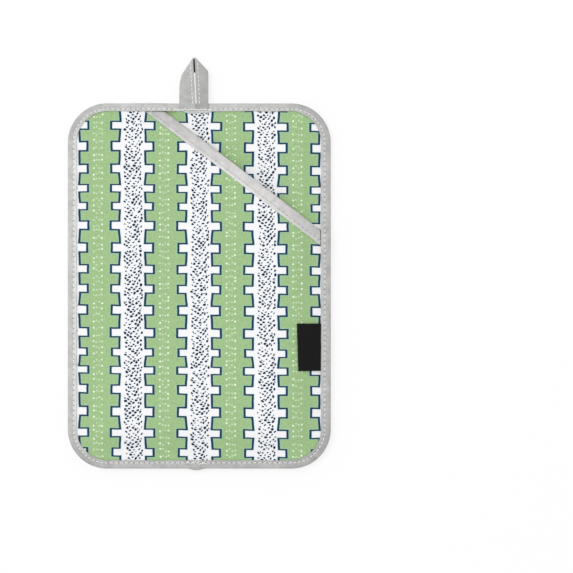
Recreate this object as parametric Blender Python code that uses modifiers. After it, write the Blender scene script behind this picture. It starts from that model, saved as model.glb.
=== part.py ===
"""Pocket pot holder, lying on its quilted back with the printed pocket up.

Sizes are in metres. The origin is the middle of the holder on the table, +Z is up and
+Y points to the hanging loop. Every layer is a height above the table at each point of
one plan, so a layer always follows the one below it with the same small seating gap.
"""
import math

import bmesh
import bpy
from mathutils import Vector

MM = 0.001

# Outline of the whole holder
HOLDER_WIDTH = 180 * MM
HOLDER_LENGTH = 250 * MM
CORNER_RADIUS = 27 * MM
SEATING_GAP = 0.3 * MM            # between any two pieces that lie on each other

# Quilted back and its filling
QUILT_HALF_WIDTH = 24.8 * MM      # half of a diamond, across the holder
QUILT_HALF_HEIGHT = 25.3 * MM     # half of a diamond, along the holder
QUILT_CENTRE = Vector((-6.8 * MM, 3.2 * MM))
QUILT_DEPTH = 3.2 * MM            # from the crown of a diamond in to its stitch line
QUILT_STEPS = (0.0, 0.1, 0.25, 0.75, 0.9)   # shares of a diamond where its cloth bends
PINCH_RUN = 9 * MM                # the quilting flattens over this run beside the binding
COVER_THICKNESS = 0.5 * MM
WADDING_AT_SEAM = 0.8 * MM
WADDING_RISE = 4.0 * MM           # how much the middle stands above the sewn edge
CROWN_RUN = 22 * MM               # over this run in from the binding's lip

# Printed front panel and pocket
PANEL_THICKNESS = 0.5 * MM
POCKET_THICKNESS = 1.1 * MM       # printed cotton doubled over its lining
POCKET_OPENING = 6.0 * MM         # room for the fingers in the middle of the pocket
POCKET_RUN = 35 * MM              # the pocket rises over this run from its sewn edges
POCKET_RINGS = 8                  # bends along that run
MOUTH_ALONG_TOP = 120.8 * MM      # from the right side to where the mouth meets the top edge
MOUTH_DOWN_SIDE = 92.2 * MM       # from the top edge to where it meets the right side

# Tape round the pocket's mouth
MOUTH_TAPE_WIDTH = 8.3 * MM
MOUTH_TAPE_THICKNESS = 0.6 * MM
MOUTH_TAPE_STEPS = 30

# Tape round the holder's edge
BINDING_WIDTH = 5.8 * MM
BINDING_THICKNESS = 0.9 * MM
BINDING_ROOM = 0.9 * MM           # between the folded tape and the layers' cut edges
CORNER_STEPS = 8
TUCK = 1.0 * MM                   # what is caught in the binding stops this short of the layers
RAMP = 5.0 * MM                   # run over which the binding climbs onto what it catches
LAP_X = -2.4 * MM                 # where the tape's end laps over its start, at the bottom
LAP_LENGTH = 13 * MM
LAP_THICKNESS = 1.1 * MM
LAP_SLANT = 0.6                   # the lapped end is cut on the slant
LAP_RAMP = 1.5 * MM

# Hanging loop, one tape folded twice across its corner
LOOP_X = -3.7 * MM
LOOP_THICKNESS = 1.0 * MM
LOOP_HALF_WIDTH = 10.0 * MM       # over both legs at the holder's edge
LOOP_HEIGHT = 31.0 * MM           # tip above the holder's edge
LOOP_SLIT = 1.2 * MM
LOOP_SLIT_DRIFT = 1.8 * MM        # the slit leans this far to the right at its foot
LOOP_LEFT_SHOULDER = Vector((-8.7 * MM, 17.9 * MM))
LOOP_RIGHT_SHOULDER = Vector((10.5 * MM, 21.6 * MM))
LOOP_OVERLAP = 4.8 * MM           # sewn down on the binding's front face
LOOP_DROOP = 2.2 * MM
LOOP_ACROSS = 4
LOOP_ALONG = 8

# Blank side label, a folded woven tape
LABEL_Y = -41.9 * MM
LABEL_WIDTH = 32.4 * MM
LABEL_SHOWING = 16.8 * MM
LABEL_SKEW = 0.9 * MM
LABEL_THICKNESS = 0.3 * MM

# Printed stripes: white columns with square arms, edged in navy, on green
COLUMN_PITCH = 45.4 * MM
COLUMN_HALF = 8.8 * MM
ARM_PITCH = 13.96 * MM
ARM_FIRST = 108.9 * MM            # middle of the topmost arm, above the middle of the holder
ARM_REACH = 14.5 * MM             # tip of an arm from the middle of its column
ARM_HALF = 2.85 * MM
PRINT_LINE = 1.2 * MM
PRINT_WHITE = (0.95, 0.95, 0.96)
PRINT_GREEN = (0.37, 0.55, 0.28)
PRINT_NAVY = (0.012, 0.044, 0.117)

# Sizes that follow from the ones above
EDGE_TURN = BINDING_THICKNESS + BINDING_ROOM
TUCK_INSET = EDGE_TURN + TUCK
MOUTH_TURN = POCKET_THICKNESS / 2 + SEATING_GAP + MOUTH_TAPE_THICKNESS
MOUTH_LIFT = SEATING_GAP + MOUTH_TAPE_THICKNESS
LABEL_LIFT = SEATING_GAP + 2 * LABEL_THICKNESS + SEATING_GAP
RING_STEP = POCKET_RUN / POCKET_RINGS
INNER_RADIUS = 3 * MM
FINE_STEP = 3 * MM
CLEAR = 0.5 * MM

HALF_X = HOLDER_WIDTH / 2
HALF_Y = HOLDER_LENGTH / 2
MOUTH_START = Vector((HALF_X - MOUTH_ALONG_TOP, HALF_Y))
MOUTH_ALONG = (Vector((HALF_X, HALF_Y - MOUTH_DOWN_SIDE)) - MOUTH_START).normalized()
MOUTH_INTO = Vector((MOUTH_ALONG.y, -MOUTH_ALONG.x))


def smooth(share):
    """Ease from 0 to 1."""
    share = min(max(share, 0.0), 1.0)
    return share * share * (3.0 - 2.0 * share)


# Plan of the holder

def inside_lip(x, y):
    """How far a point lies inside the line where the edge binding's lip ends."""
    beyond_x = abs(x) - (HALF_X - CORNER_RADIUS)
    beyond_y = abs(y) - (HALF_Y - CORNER_RADIUS)
    from_core = math.hypot(max(beyond_x, 0.0), max(beyond_y, 0.0)) + min(max(beyond_x, beyond_y), 0.0)
    return CORNER_RADIUS - from_core - BINDING_WIDTH


def into_pocket(x, y):
    """How far a point lies from the mouth's free edge, on the pocket's side."""
    return (Vector((x, y)) - MOUTH_START).dot(MOUTH_INTO)


def edge_places():
    """Points round the holder's edge with the direction that leads inwards, anticlockwise."""
    places = []
    for corner in range(4):
        core = Vector(((1, -1, -1, 1)[corner] * (HALF_X - CORNER_RADIUS),
                       (1, 1, -1, -1)[corner] * (HALF_Y - CORNER_RADIUS)))
        for step in range(CORNER_STEPS + 1):
            angle = math.radians(90) * (corner + step / CORNER_STEPS)
            outward = Vector((math.cos(angle), math.sin(angle)))
            places.append((core + outward * CORNER_RADIUS, -outward))
    return places


def outline(inset):
    """Line parallel to the holder's edge. Its corners stay a little round however deep it lies."""
    radius = max(CORNER_RADIUS - inset, INNER_RADIUS)
    points = []
    for edge, inward in edge_places():
        core = edge + inward * CORNER_RADIUS
        shift = inset + radius - CORNER_RADIUS
        core = Vector((core.x - math.copysign(shift, core.x), core.y - math.copysign(shift, core.y)))
        points.append(core - inward * radius)
    return points


# Height of each layer above the table

def quilt_cell(x, y):
    """Position within the slanting lattice of diamonds, one unit to a diamond."""
    across = (x - QUILT_CENTRE.x) / QUILT_HALF_WIDTH
    along = (y - QUILT_CENTRE.y) / QUILT_HALF_HEIGHT
    return (across + along + 1) / 2, (across - along + 1) / 2


def puff(position):
    """0 on a stitch line, rising to 1 on the flat crown that the diamond rests on."""
    share = position - math.floor(position)
    from_line = min(share, 1.0 - share)
    return math.sin(math.pi / 2 * min(from_line / QUILT_STEPS[2], 1.0))


def cover_under(x, y):
    first, second = quilt_cell(x, y)
    pinch = smooth(inside_lip(x, y) / PINCH_RUN)
    return QUILT_DEPTH * (1.0 - puff(first) * puff(second) * pinch)


def cover_top(x, y):
    return cover_under(x, y) + COVER_THICKNESS


def wadding_under(x, y):
    return cover_top(x, y) + SEATING_GAP


def wadding_top(x, y):
    at_seam = QUILT_DEPTH + COVER_THICKNESS + SEATING_GAP + WADDING_AT_SEAM
    return at_seam + WADDING_RISE * smooth(inside_lip(x, y) / CROWN_RUN)


def front_under(x, y):
    return wadding_top(x, y) + SEATING_GAP


def front_top(x, y):
    return front_under(x, y) + PANEL_THICKNESS


def tape_band(x, y):
    """1 where the mouth's tape lies, easing to 0 to either side of it."""
    depth = into_pocket(x, y)
    outside = smooth(1.0 + (depth + CLEAR) / RAMP)
    inside = smooth(1.0 - (depth - MOUTH_TAPE_WIDTH - CLEAR) / RAMP)
    return outside * inside


def pocket_under(x, y):
    room = (POCKET_OPENING - SEATING_GAP) * smooth(inside_lip(x, y) / POCKET_RUN)
    return front_top(x, y) + SEATING_GAP + room + MOUTH_LIFT * tape_band(x, y)


def pocket_top(x, y):
    return pocket_under(x, y) + POCKET_THICKNESS


def binding_ceiling(x, y):
    """Inner face of the binding's upper wall: it clears whatever is caught in the seam here."""
    pocket = (SEATING_GAP + POCKET_THICKNESS) * smooth(1.0 + (into_pocket(x, y) + CLEAR) / RAMP)
    tape = 2 * MOUTH_LIFT * tape_band(x, y)
    from_label = abs(y - LABEL_Y) - LABEL_WIDTH / 2 - CLEAR
    label = LABEL_LIFT * smooth(1.0 - from_label / RAMP) if x > 0 else 0.0
    rim_level = QUILT_DEPTH + COVER_THICKNESS + WADDING_AT_SEAM + PANEL_THICKNESS + 3 * SEATING_GAP
    return rim_level + pocket + tape + label


# Building blocks

def new_collection(name):
    collection = bpy.data.collections.new(name)
    bpy.context.scene.collection.children.link(collection)
    return collection


def cloth(name, colour, roughness, metallic=0.0):
    """A plain Principled material for one piece."""
    material = bpy.data.materials.new(name)
    material.use_nodes = True
    material.diffuse_color = (*colour, 1.0)
    shader = material.node_tree.nodes["Principled BSDF"]
    shader.inputs["Base Color"].default_value = (*colour, 1.0)
    shader.inputs["Roughness"].default_value = roughness
    shader.inputs["Metallic"].default_value = metallic
    return material


def printed_cloth(name):
    """Cloth with the stripes as fields of colour, by distance to the nearest column and arm."""
    material = cloth(name, PRINT_GREEN, 0.8)
    tree = material.node_tree

    def step(operation, *values):
        math_node = tree.nodes.new("ShaderNodeMath")
        math_node.operation = operation
        for socket, value in zip(math_node.inputs, values):
            if isinstance(value, bpy.types.NodeSocket):
                tree.links.new(value, socket)
            else:
                socket.default_value = value
        return math_node.outputs[0]

    def paint(where, inside, outside):
        mix = tree.nodes.new("ShaderNodeMixRGB")
        tree.links.new(where, mix.inputs["Fac"])
        mix.inputs["Color2"].default_value = (*inside, 1.0)
        if isinstance(outside, bpy.types.NodeSocket):
            tree.links.new(outside, mix.inputs["Color1"])
        else:
            mix.inputs["Color1"].default_value = (*outside, 1.0)
        return mix.outputs["Color"]

    place = tree.nodes.new("ShaderNodeSeparateXYZ")
    tree.links.new(tree.nodes.new("ShaderNodeTexCoord").outputs["Object"], place.inputs[0])
    from_middle = step("PINGPONG", place.outputs["X"], COLUMN_PITCH / 2)
    from_arm = step("PINGPONG", step("SUBTRACT", place.outputs["Y"], ARM_FIRST), ARM_PITCH / 2)
    beyond_column = step("SUBTRACT", from_middle, COLUMN_HALF)
    beyond_reach = step("SUBTRACT", from_middle, ARM_REACH)
    beyond_arm = step("MAXIMUM", beyond_reach, step("SUBTRACT", from_arm, ARM_HALF))
    beyond = step("MINIMUM", beyond_column, beyond_arm)
    ground = paint(step("LESS_THAN", beyond, 0.0), PRINT_WHITE, PRINT_GREEN)
    stripes = paint(step("COMPARE", beyond, 0.0, PRINT_LINE / 2), PRINT_NAVY, ground)
    tree.links.new(stripes, tree.nodes["Principled BSDF"].inputs["Base Color"])
    return material


def add_piece(name, mesh_data, material, collection):
    """Turn finished mesh data into a named object with its faces pointing out."""
    bmesh.ops.recalc_face_normals(mesh_data, faces=mesh_data.faces)
    mesh = bpy.data.meshes.new(name)
    mesh_data.to_mesh(mesh)
    mesh_data.free()
    mesh.shade_smooth()
    mesh.set_sharp_from_angle(angle=math.radians(40))
    piece = bpy.data.objects.new(name, mesh)
    collection.objects.link(piece)
    if material:
        mesh.materials.append(material)
    return piece


def loft(rows, closed_rows=False, closed_points=False):
    """Skin a grid of points, row after row."""
    skin = bmesh.new()
    grid = [[skin.verts.new(point) for point in row] for row in rows]
    for index in range(len(rows) if closed_rows else len(rows) - 1):
        near = grid[index]
        far = grid[(index + 1) % len(rows)]
        for place in range(len(near) if closed_points else len(near) - 1):
            after = (place + 1) % len(near)
            skin.faces.new((near[place], near[after], far[after], far[place]))
    return skin


def close_ends(skin):
    """Fill the open ends of a lofted tube."""
    open_edges = [edge for edge in skin.edges if edge.is_boundary]
    bmesh.ops.holes_fill(skin, edges=open_edges, sides=0)


def ringed_net(insets):
    """Flat plan of a panel as rings parallel to the holder's edge, filled in the middle."""
    rings = [[(*point, 0.0) for point in outline(inset)] for inset in insets]
    net = loft(rings, closed_points=True)
    net.verts.ensure_lookup_table()
    net.faces.new(net.verts[-len(rings[-1]):])
    return net


def cut_net(net, point, direction, faces=None, trim=False):
    """Cut a flat plan along a line, and with trim drop what lies against its direction."""
    faces = list(net.faces) if faces is None else faces
    edges = {edge for face in faces for edge in face.edges}
    verts = {vert for face in faces for vert in face.verts}
    bmesh.ops.bisect_plane(net, geom=[*faces, *edges, *verts], dist=0.15 * MM, clear_inner=trim,
                           plane_co=(*point, 0.0), plane_no=(*direction, 0.0))


def thicken(net, under, top):
    """Raise a flat plan into a solid between two heights. Its triangles are settled while it is
    flat, so that two pieces raised from like plans bend along the same lines."""
    bmesh.ops.triangulate(net, faces=net.faces)
    raised = bmesh.ops.extrude_face_region(net, geom=list(net.faces))["geom"]
    upper = {item for item in raised if isinstance(item, bmesh.types.BMVert)}
    for vert in net.verts:
        height = top if vert in upper else under
        vert.co.z = height(vert.co.x, vert.co.y)
    return net


def solidify(piece, thickness):
    """Give a lofted tape its thickness, half to each side."""
    modifier = piece.modifiers.new("thickness", "SOLIDIFY")
    modifier.thickness = thickness
    modifier.offset = 0.0
    modifier.use_even_offset = True
    return piece


# Quilted back and wadding

def quilted_net(inset):
    """Flat plan cut along every stitch line of the diamonds and where their cloth bends."""
    net = ringed_net((inset, BINDING_WIDTH, BINDING_WIDTH + PINCH_RUN / 2))
    reach = HOLDER_WIDTH / QUILT_HALF_WIDTH + HOLDER_LENGTH / QUILT_HALF_HEIGHT
    for diamond in range(-math.ceil(reach / 4) - 1, math.ceil(reach / 4) + 1):
        for step in QUILT_STEPS:
            for lean in (1, -1):
                shift = (2 * (diamond + step) - 1) * QUILT_HALF_WIDTH
                direction = Vector((1 / QUILT_HALF_WIDTH, lean / QUILT_HALF_HEIGHT)).normalized()
                inner = [face for face in net.faces
                         if inside_lip(*face.calc_center_median().xy) > 0.0]
                cut_net(net, QUILT_CENTRE + Vector((shift, 0.0)), direction, inner)
    return net


def build_back_cover(collection):
    body = thicken(quilted_net(EDGE_TURN), cover_under, cover_top)
    return add_piece("back_cover", body, cloth("silver_cloth", (0.62, 0.62, 0.62), 0.35, 0.25), collection)


def build_wadding(collection, cutters):
    """A domed slab whose underside is cut to the quilted cover."""
    rings = [EDGE_TURN]
    rings += [BINDING_WIDTH + RING_STEP * step for step in range(math.ceil(CROWN_RUN / RING_STEP) + 1)]
    slab = thicken(ringed_net(rings), lambda x, y: 0.0, wadding_top)
    wadding = add_piece("wadding", slab, cloth("wadding", (0.80, 0.80, 0.78), 0.95), collection)
    room = thicken(quilted_net(EDGE_TURN - CLEAR), wadding_under,
                   lambda x, y: QUILT_DEPTH + 2 * WADDING_RISE + CROWN_RUN)
    cutter = add_piece("quilted_room", room, None, cutters)
    cutter.display_type = "WIRE"
    cutter.hide_render = True
    modifier = wadding.modifiers.new("quilted underside", "BOOLEAN")
    modifier.operation = "INTERSECT"
    modifier.solver = "EXACT"
    modifier.object = cutter
    return wadding


# Printed panels

def build_front_panel(collection):
    rings = [EDGE_TURN]
    rings += [BINDING_WIDTH + RING_STEP * step for step in range(math.ceil(CROWN_RUN / RING_STEP) + 1)]
    body = thicken(ringed_net(rings), front_under, front_top)
    return add_piece("front_panel", body, printed_cloth("printed_cotton"), collection)


def build_pocket_panel(collection):
    """The pocket lies over the front panel and ends at the slanting mouth."""
    rings = [EDGE_TURN] + [BINDING_WIDTH + RING_STEP * step for step in range(POCKET_RINGS + 1)]
    net = ringed_net(rings)
    cut_net(net, MOUTH_START + MOUTH_INTO * MOUTH_TURN, MOUTH_INTO, trim=True)
    for share in (0.0, 0.5, 1.0):
        depth = MOUTH_TAPE_WIDTH + CLEAR + RAMP * share
        cut_net(net, MOUTH_START + MOUTH_INTO * depth, MOUTH_INTO)
    body = thicken(net, pocket_under, pocket_top)
    return add_piece("pocket_panel", body, printed_cloth("pocket_cotton"), collection)


# Tapes

def quarter_turn(radius, descending=False):
    """Three points of a quarter turn, as run and rise from its centre."""
    angles = (0.0, 45.0, 90.0)
    points = [(radius * math.sin(math.radians(angle)), radius * math.cos(math.radians(angle)))
              for angle in angles]
    return points[::-1] if descending else points


def lap(x, depth):
    """Extra tape where the binding's end laps over its start."""
    along = x - LAP_X - LAP_SLANT * depth
    cover = smooth((along + LAP_LENGTH / 2) / LAP_RAMP) * smooth((LAP_LENGTH / 2 - along) / LAP_RAMP)
    return LAP_THICKNESS * cover


def binding_section(edge, inward):
    """Closed U section of the binding at one place on the holder's edge."""
    floor = QUILT_DEPTH - SEATING_GAP
    lip = BINDING_WIDTH - BINDING_THICKNESS / 3
    middle = (EDGE_TURN + lip) / 2

    def extra(depth):
        return lap(edge.x, depth) if edge.y < -HALF_Y + CLEAR else 0.0

    def ceiling(depth):
        return binding_ceiling(*(edge + inward * depth))

    outer = BINDING_THICKNESS + extra(0.0) + BINDING_ROOM
    low = floor - BINDING_THICKNESS + EDGE_TURN
    high = ceiling(EDGE_TURN) + BINDING_THICKNESS - EDGE_TURN
    section = [(BINDING_WIDTH, floor - BINDING_THICKNESS / 2)]
    section += [(lip, floor - BINDING_THICKNESS - extra(lip))]
    section += [(EDGE_TURN - run, low - rise) for run, rise in quarter_turn(outer)]
    section += [(EDGE_TURN - run, high + rise) for run, rise in quarter_turn(outer, True)]
    section += [(depth, ceiling(depth) + BINDING_THICKNESS + extra(depth)) for depth in (middle, lip)]
    section += [(BINDING_WIDTH, ceiling(BINDING_WIDTH) + BINDING_THICKNESS / 2)]
    section += [(depth, ceiling(depth)) for depth in (lip, middle)]
    section += [(EDGE_TURN - run, high + rise) for run, rise in quarter_turn(BINDING_ROOM)]
    section += [(EDGE_TURN - run, low - rise) for run, rise in quarter_turn(BINDING_ROOM, True)]
    section += [(lip, floor)]
    return [(*(edge + inward * depth), height) for depth, height in section]


def fine_zones():
    """Stretches of the edge, by side, where the binding climbs or is lapped."""
    reach = MOUTH_TAPE_WIDTH + CLEAR + RAMP
    on_top = abs(MOUTH_ALONG.y)
    on_side = abs(MOUTH_ALONG.x)
    side_y = HALF_Y - MOUTH_DOWN_SIDE
    label_low = LABEL_Y - LABEL_WIDTH / 2
    label_high = LABEL_Y + LABEL_WIDTH / 2
    lap_reach = LAP_LENGTH / 2 + LAP_RAMP
    return {
        "top": [(MOUTH_START.x - reach / on_top, MOUTH_START.x + (RAMP + BINDING_WIDTH) / on_top)],
        "right": [(side_y - reach / on_side, side_y + (RAMP + BINDING_WIDTH) / on_side),
                  (label_low - RAMP - CLEAR, label_low), (label_high, label_high + RAMP + CLEAR)],
        "bottom": [(LAP_X - lap_reach, LAP_X - lap_reach + 3 * LAP_RAMP),
                   (LAP_X + lap_reach - 2 * LAP_RAMP, LAP_X + lap_reach + 2 * LAP_RAMP)],
        "left": [],
    }


def stations():
    """Places of the binding's sections: round the corners, and close together in the fine zones."""
    places = edge_places()
    zones = fine_zones()
    sides = (("top", Vector((0, HALF_Y)), Vector((1, 0))), ("left", Vector((-HALF_X, 0)), Vector((0, 1))),
             ("bottom", Vector((0, -HALF_Y)), Vector((1, 0))), ("right", Vector((HALF_X, 0)), Vector((0, 1))))
    for side, middle, along in sides:
        inward = -middle.normalized()
        step = LAP_RAMP / 2 if side == "bottom" else FINE_STEP
        for low, high in zones[side]:
            count = max(math.ceil((high - low) / step), 1)
            places += [(middle + along * (low + (high - low) * index / count), inward)
                       for index in range(count + 1)]
    return sorted(places, key=lambda place: distance_round(place[0]))


def distance_round(point):
    """Order of a point along the holder's edge, anticlockwise from the middle of the right side."""
    return math.atan2(point.y, point.x) % (2 * math.pi)


def build_edge_binding(collection):
    """Tape folded over all the layers, swept round the edge and lapped at the bottom."""
    skin = loft([binding_section(edge, inward) for edge, inward in stations()], True, True)
    return add_piece("edge_binding", skin, cloth("edge_tape", (0.50, 0.50, 0.50), 0.7), collection)


def build_pocket_binding(collection):
    """Tape folded over the pocket's free edge, with its ends caught in the edge binding."""
    lip = MOUTH_TAPE_WIDTH - MOUTH_TAPE_THICKNESS / 3
    inner_turn = MOUTH_TURN - MOUTH_TAPE_THICKNESS

    def place(share, depth):
        start = (-TUCK_INSET - MOUTH_INTO.y * depth) / MOUTH_ALONG.y
        end = (HALF_X - TUCK_INSET - MOUTH_START.x - MOUTH_INTO.x * depth) / MOUTH_ALONG.x
        return MOUTH_START + MOUTH_ALONG * (start + (end - start) * share) + MOUTH_INTO * depth

    def middle_height(share):
        x, y = place(share, MOUTH_TURN)
        return pocket_under(x, y) + POCKET_THICKNESS / 2

    def section(share):
        above = SEATING_GAP + MOUTH_TAPE_THICKNESS
        centre = middle_height(share)
        upper = [(MOUTH_TAPE_WIDTH, SEATING_GAP + MOUTH_TAPE_THICKNESS / 2)]
        upper += [(lip, above), ((lip + MOUTH_TURN) / 2, above)]
        points = [(*place(share, depth), pocket_top(*place(share, depth)) + lift) for depth, lift in upper]
        outside = quarter_turn(MOUTH_TURN)
        outside += [(run, -rise) for run, rise in quarter_turn(MOUTH_TURN, True)][1:]
        points += [(*place(share, MOUTH_TURN - run), centre + rise) for run, rise in outside]
        lower = [((lip + MOUTH_TURN) / 2, above), (lip, above)]
        lower += [(MOUTH_TAPE_WIDTH, above - MOUTH_TAPE_THICKNESS / 2), (lip, SEATING_GAP)]
        lower += [((lip + MOUTH_TURN) / 2, SEATING_GAP)]
        points += [(*place(share, depth), pocket_under(*place(share, depth)) - drop) for depth, drop in lower]
        inside = quarter_turn(inner_turn) + [(run, -rise) for run, rise in quarter_turn(inner_turn, True)][1:]
        points += [(*place(share, MOUTH_TURN - run), centre + rise) for run, rise in reversed(inside)]
        points += [(*place(share, depth), pocket_top(*place(share, depth)) + SEATING_GAP)
                   for depth in ((lip + MOUTH_TURN) / 2, lip)]
        return points

    skin = loft([section(index / MOUTH_TAPE_STEPS) for index in range(MOUTH_TAPE_STEPS + 1)],
                closed_points=True)
    close_ends(skin)
    return add_piece("pocket_binding", skin, cloth("mouth_tape", (0.58, 0.58, 0.58), 0.7), collection)


def half_fold(radius, steps=6):
    """Reach and drop along a tape that turns back under itself."""
    angles = [math.pi * step / steps for step in range(steps + 1)]
    return [(radius * math.sin(angle), -radius * (1.0 - math.cos(angle))) for angle in angles]


def build_hanging_loop(collection):
    """One tape: up the left leg, twice folded back across its corner, and down the right leg."""
    fold = (LOOP_THICKNESS + SEATING_GAP) / 2
    overhang = fold + LOOP_THICKNESS / 2
    tip = Vector((0.0, LOOP_HEIGHT))
    shares = [index / LOOP_ACROSS for index in range(LOOP_ACROSS + 1)]

    def crease(shoulder, side):
        """The folded edge's centre line, from the leg's outer edge to the slit, and its way out."""
        run = (tip - shoulder).normalized()
        out = Vector((-run.y, run.x)) * -side
        start = shoulder - out * overhang
        start -= run * (start.x - shoulder.x) / run.x
        slit_x = side * LOOP_SLIT / 2
        return start, start + run * (slit_x - start.x) / run.x, out

    def height(x, y):
        """The legs lie on the binding and sag a little beyond it."""
        on_binding = binding_ceiling(LOOP_X + x, HALF_Y + min(y, -EDGE_TURN)) + BINDING_THICKNESS
        sag = LOOP_DROOP * smooth((y + EDGE_TURN) / LOOP_HEIGHT)
        return on_binding + SEATING_GAP + LOOP_THICKNESS / 2 - sag

    def row(outer, inner, drop=0.0):
        points = [outer.lerp(inner, share) for share in shares]
        return [(LOOP_X + point.x, HALF_Y + point.y, height(*point) + drop) for point in points]

    def leg(shoulder, side):
        foot_slit = LOOP_SLIT_DRIFT + side * LOOP_SLIT / 4
        foot = (Vector((side * LOOP_HALF_WIDTH, -LOOP_OVERLAP)), Vector((foot_slit, -LOOP_OVERLAP)))
        top = crease(shoulder, side)
        rows = [row(foot[0].lerp(top[0], step / LOOP_ALONG), foot[1].lerp(top[1], step / LOOP_ALONG))
                for step in range(LOOP_ALONG)]
        rows += [row(top[0] + top[2] * reach, top[1] + top[2] * reach, drop)
                 for reach, drop in half_fold(fold)]
        return rows

    left = leg(LOOP_LEFT_SHOULDER, -1)
    right = leg(LOOP_RIGHT_SHOULDER, 1)
    left_top = crease(LOOP_LEFT_SHOULDER, -1)
    right_top = crease(LOOP_RIGHT_SHOULDER, 1)
    behind = [row(left_top[0].lerp(right_top[0], share), left_top[1].lerp(right_top[1], share), -2 * fold)
              for share in (0.25, 0.5, 0.75)]
    skin = loft(left + behind + right[::-1])
    piece = add_piece("hanging_loop", skin, cloth("loop_tape", (0.46, 0.46, 0.46), 0.7), collection)
    return solidify(piece, LOOP_THICKNESS)


def build_side_label(collection):
    """A woven tape folded in half, with both ends caught in the binding's right side."""
    fold = (LABEL_THICKNESS + SEATING_GAP) / 2
    end_x = HALF_X - TUCK_INSET
    lip_x = HALF_X - BINDING_WIDTH
    fold_x = lip_x - LABEL_SHOWING + fold
    bends = [lip_x - RING_STEP * step for step in range(math.ceil((lip_x - fold_x) / RING_STEP))]
    shares = (-0.5, -0.25, 0.0, 0.25, 0.5)

    def row(x, rise, reach=0.0):
        points = []
        for share in shares:
            y = LABEL_Y + LABEL_WIDTH * share
            lean = -LABEL_SKEW * share * (end_x - x) / (end_x - fold_x)
            height = pocket_top(x + lean, y) + SEATING_GAP + LABEL_THICKNESS / 2 + rise
            points.append((x + lean - reach, y, height))
        return points

    rows = [row(x, 0.0) for x in (end_x, *bends)]
    rows += [row(fold_x, -drop, reach) for reach, drop in half_fold(fold)]
    rows += [row(x, 2 * fold) for x in (*bends[::-1], end_x)]
    piece = add_piece("side_label", loft(rows), cloth("woven_label", (0.012, 0.012, 0.012), 0.6), collection)
    return solidify(piece, LABEL_THICKNESS)


def main():
    for old in list(bpy.data.objects):
        bpy.data.objects.remove(old, do_unlink=True)
    holder = new_collection("pocket_pot_holder")
    cutters = new_collection("cutters")
    build_back_cover(holder)
    build_wadding(holder, cutters)
    build_front_panel(holder)
    build_pocket_panel(holder)
    build_pocket_binding(holder)
    build_edge_binding(holder)
    build_hanging_loop(holder)
    build_side_label(holder)


main()
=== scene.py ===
# %% [markdown]
# # A pocket pot holder, dressed over its plain solids
#
# The real one is a sewn sandwich. From the table up it has a silver heat cloth quilted in
# diamonds, soft batting, a printed cotton front, and a second printed piece that lies over
# the front as a hand pocket with a slanting mouth. A grey tape is folded over all the cut
# edges, another over the pocket's mouth, and a third makes the hanging loop. A plain black
# woven label is caught in the right side.
#
# The plain solids already give each layer its place. Here every layer is made again as
# cloth, with its folds, puckers, stitches, weave and colour.

# %% Load the plain model as a fixed frame
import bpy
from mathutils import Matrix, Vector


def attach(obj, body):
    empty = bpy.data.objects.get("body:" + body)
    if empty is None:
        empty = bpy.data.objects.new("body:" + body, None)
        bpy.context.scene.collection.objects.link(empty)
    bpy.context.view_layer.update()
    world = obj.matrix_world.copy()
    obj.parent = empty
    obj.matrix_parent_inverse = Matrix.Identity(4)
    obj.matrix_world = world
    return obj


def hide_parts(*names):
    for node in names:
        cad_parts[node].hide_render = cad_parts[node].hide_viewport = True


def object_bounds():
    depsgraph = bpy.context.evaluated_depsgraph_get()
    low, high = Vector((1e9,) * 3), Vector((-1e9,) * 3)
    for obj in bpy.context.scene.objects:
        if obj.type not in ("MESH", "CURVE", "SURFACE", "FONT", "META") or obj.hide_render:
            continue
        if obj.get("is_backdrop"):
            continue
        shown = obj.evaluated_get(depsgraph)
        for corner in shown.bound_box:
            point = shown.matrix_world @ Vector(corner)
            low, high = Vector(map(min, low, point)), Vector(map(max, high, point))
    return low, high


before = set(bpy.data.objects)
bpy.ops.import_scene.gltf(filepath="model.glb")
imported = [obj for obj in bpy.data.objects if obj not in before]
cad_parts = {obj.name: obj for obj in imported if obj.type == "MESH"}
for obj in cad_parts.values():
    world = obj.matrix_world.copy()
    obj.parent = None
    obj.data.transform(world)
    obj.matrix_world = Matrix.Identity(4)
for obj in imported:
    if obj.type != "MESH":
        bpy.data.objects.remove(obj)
plain_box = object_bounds()
print("plain solids:", ", ".join(sorted(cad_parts)))

# %% What the lesson uses
import math

import bmesh
import bpy
import numpy as np

MM = 0.001


def put(name, data):
    """Make an object of some data and put it in the scene."""
    made = bpy.data.objects.new(name, data)
    bpy.context.scene.collection.objects.link(made)
    return made

# %% [markdown]
# ## The camera
#
# The holder lies flat and is looked at from straight above. A long lens keeps its sides
# parallel, as a product photographer does. The aim sits to the right of the holder, because
# the picture leaves room there. The distance follows from how wide the picture is on the
# table, so nothing has to be tried out.

# %% Look straight down with a long lens
LENS = 200.0
SENSOR = 36.0
PICTURE_WIDTH = 391.5 * MM
AIM = (59.7 * MM, -0.4 * MM, 10 * MM)

camera_data = bpy.data.cameras.new("camera")
camera_data.lens = LENS
camera_data.sensor_width = SENSOR
camera_data.clip_end = 20.0
camera = put("camera", camera_data)
camera.location = (AIM[0], AIM[1], AIM[2] + PICTURE_WIDTH * LENS / SENSOR)
bpy.context.scene.camera = camera
bpy.context.scene.view_settings.view_transform = "Standard"
print(f"camera {camera.location.z:.3f} m above the table")

# %% [markdown]
# ## Colours and nodes
#
# A colour is read off as a hex number in sRGB, which is how a screen stores it, while the
# shaders add and multiply light, which is linear. One function turns the first into the
# second. One more adds a node with its settings and what feeds it, so that each material
# below reads as a recipe. A node's operation follows its kind after a dot.

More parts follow.
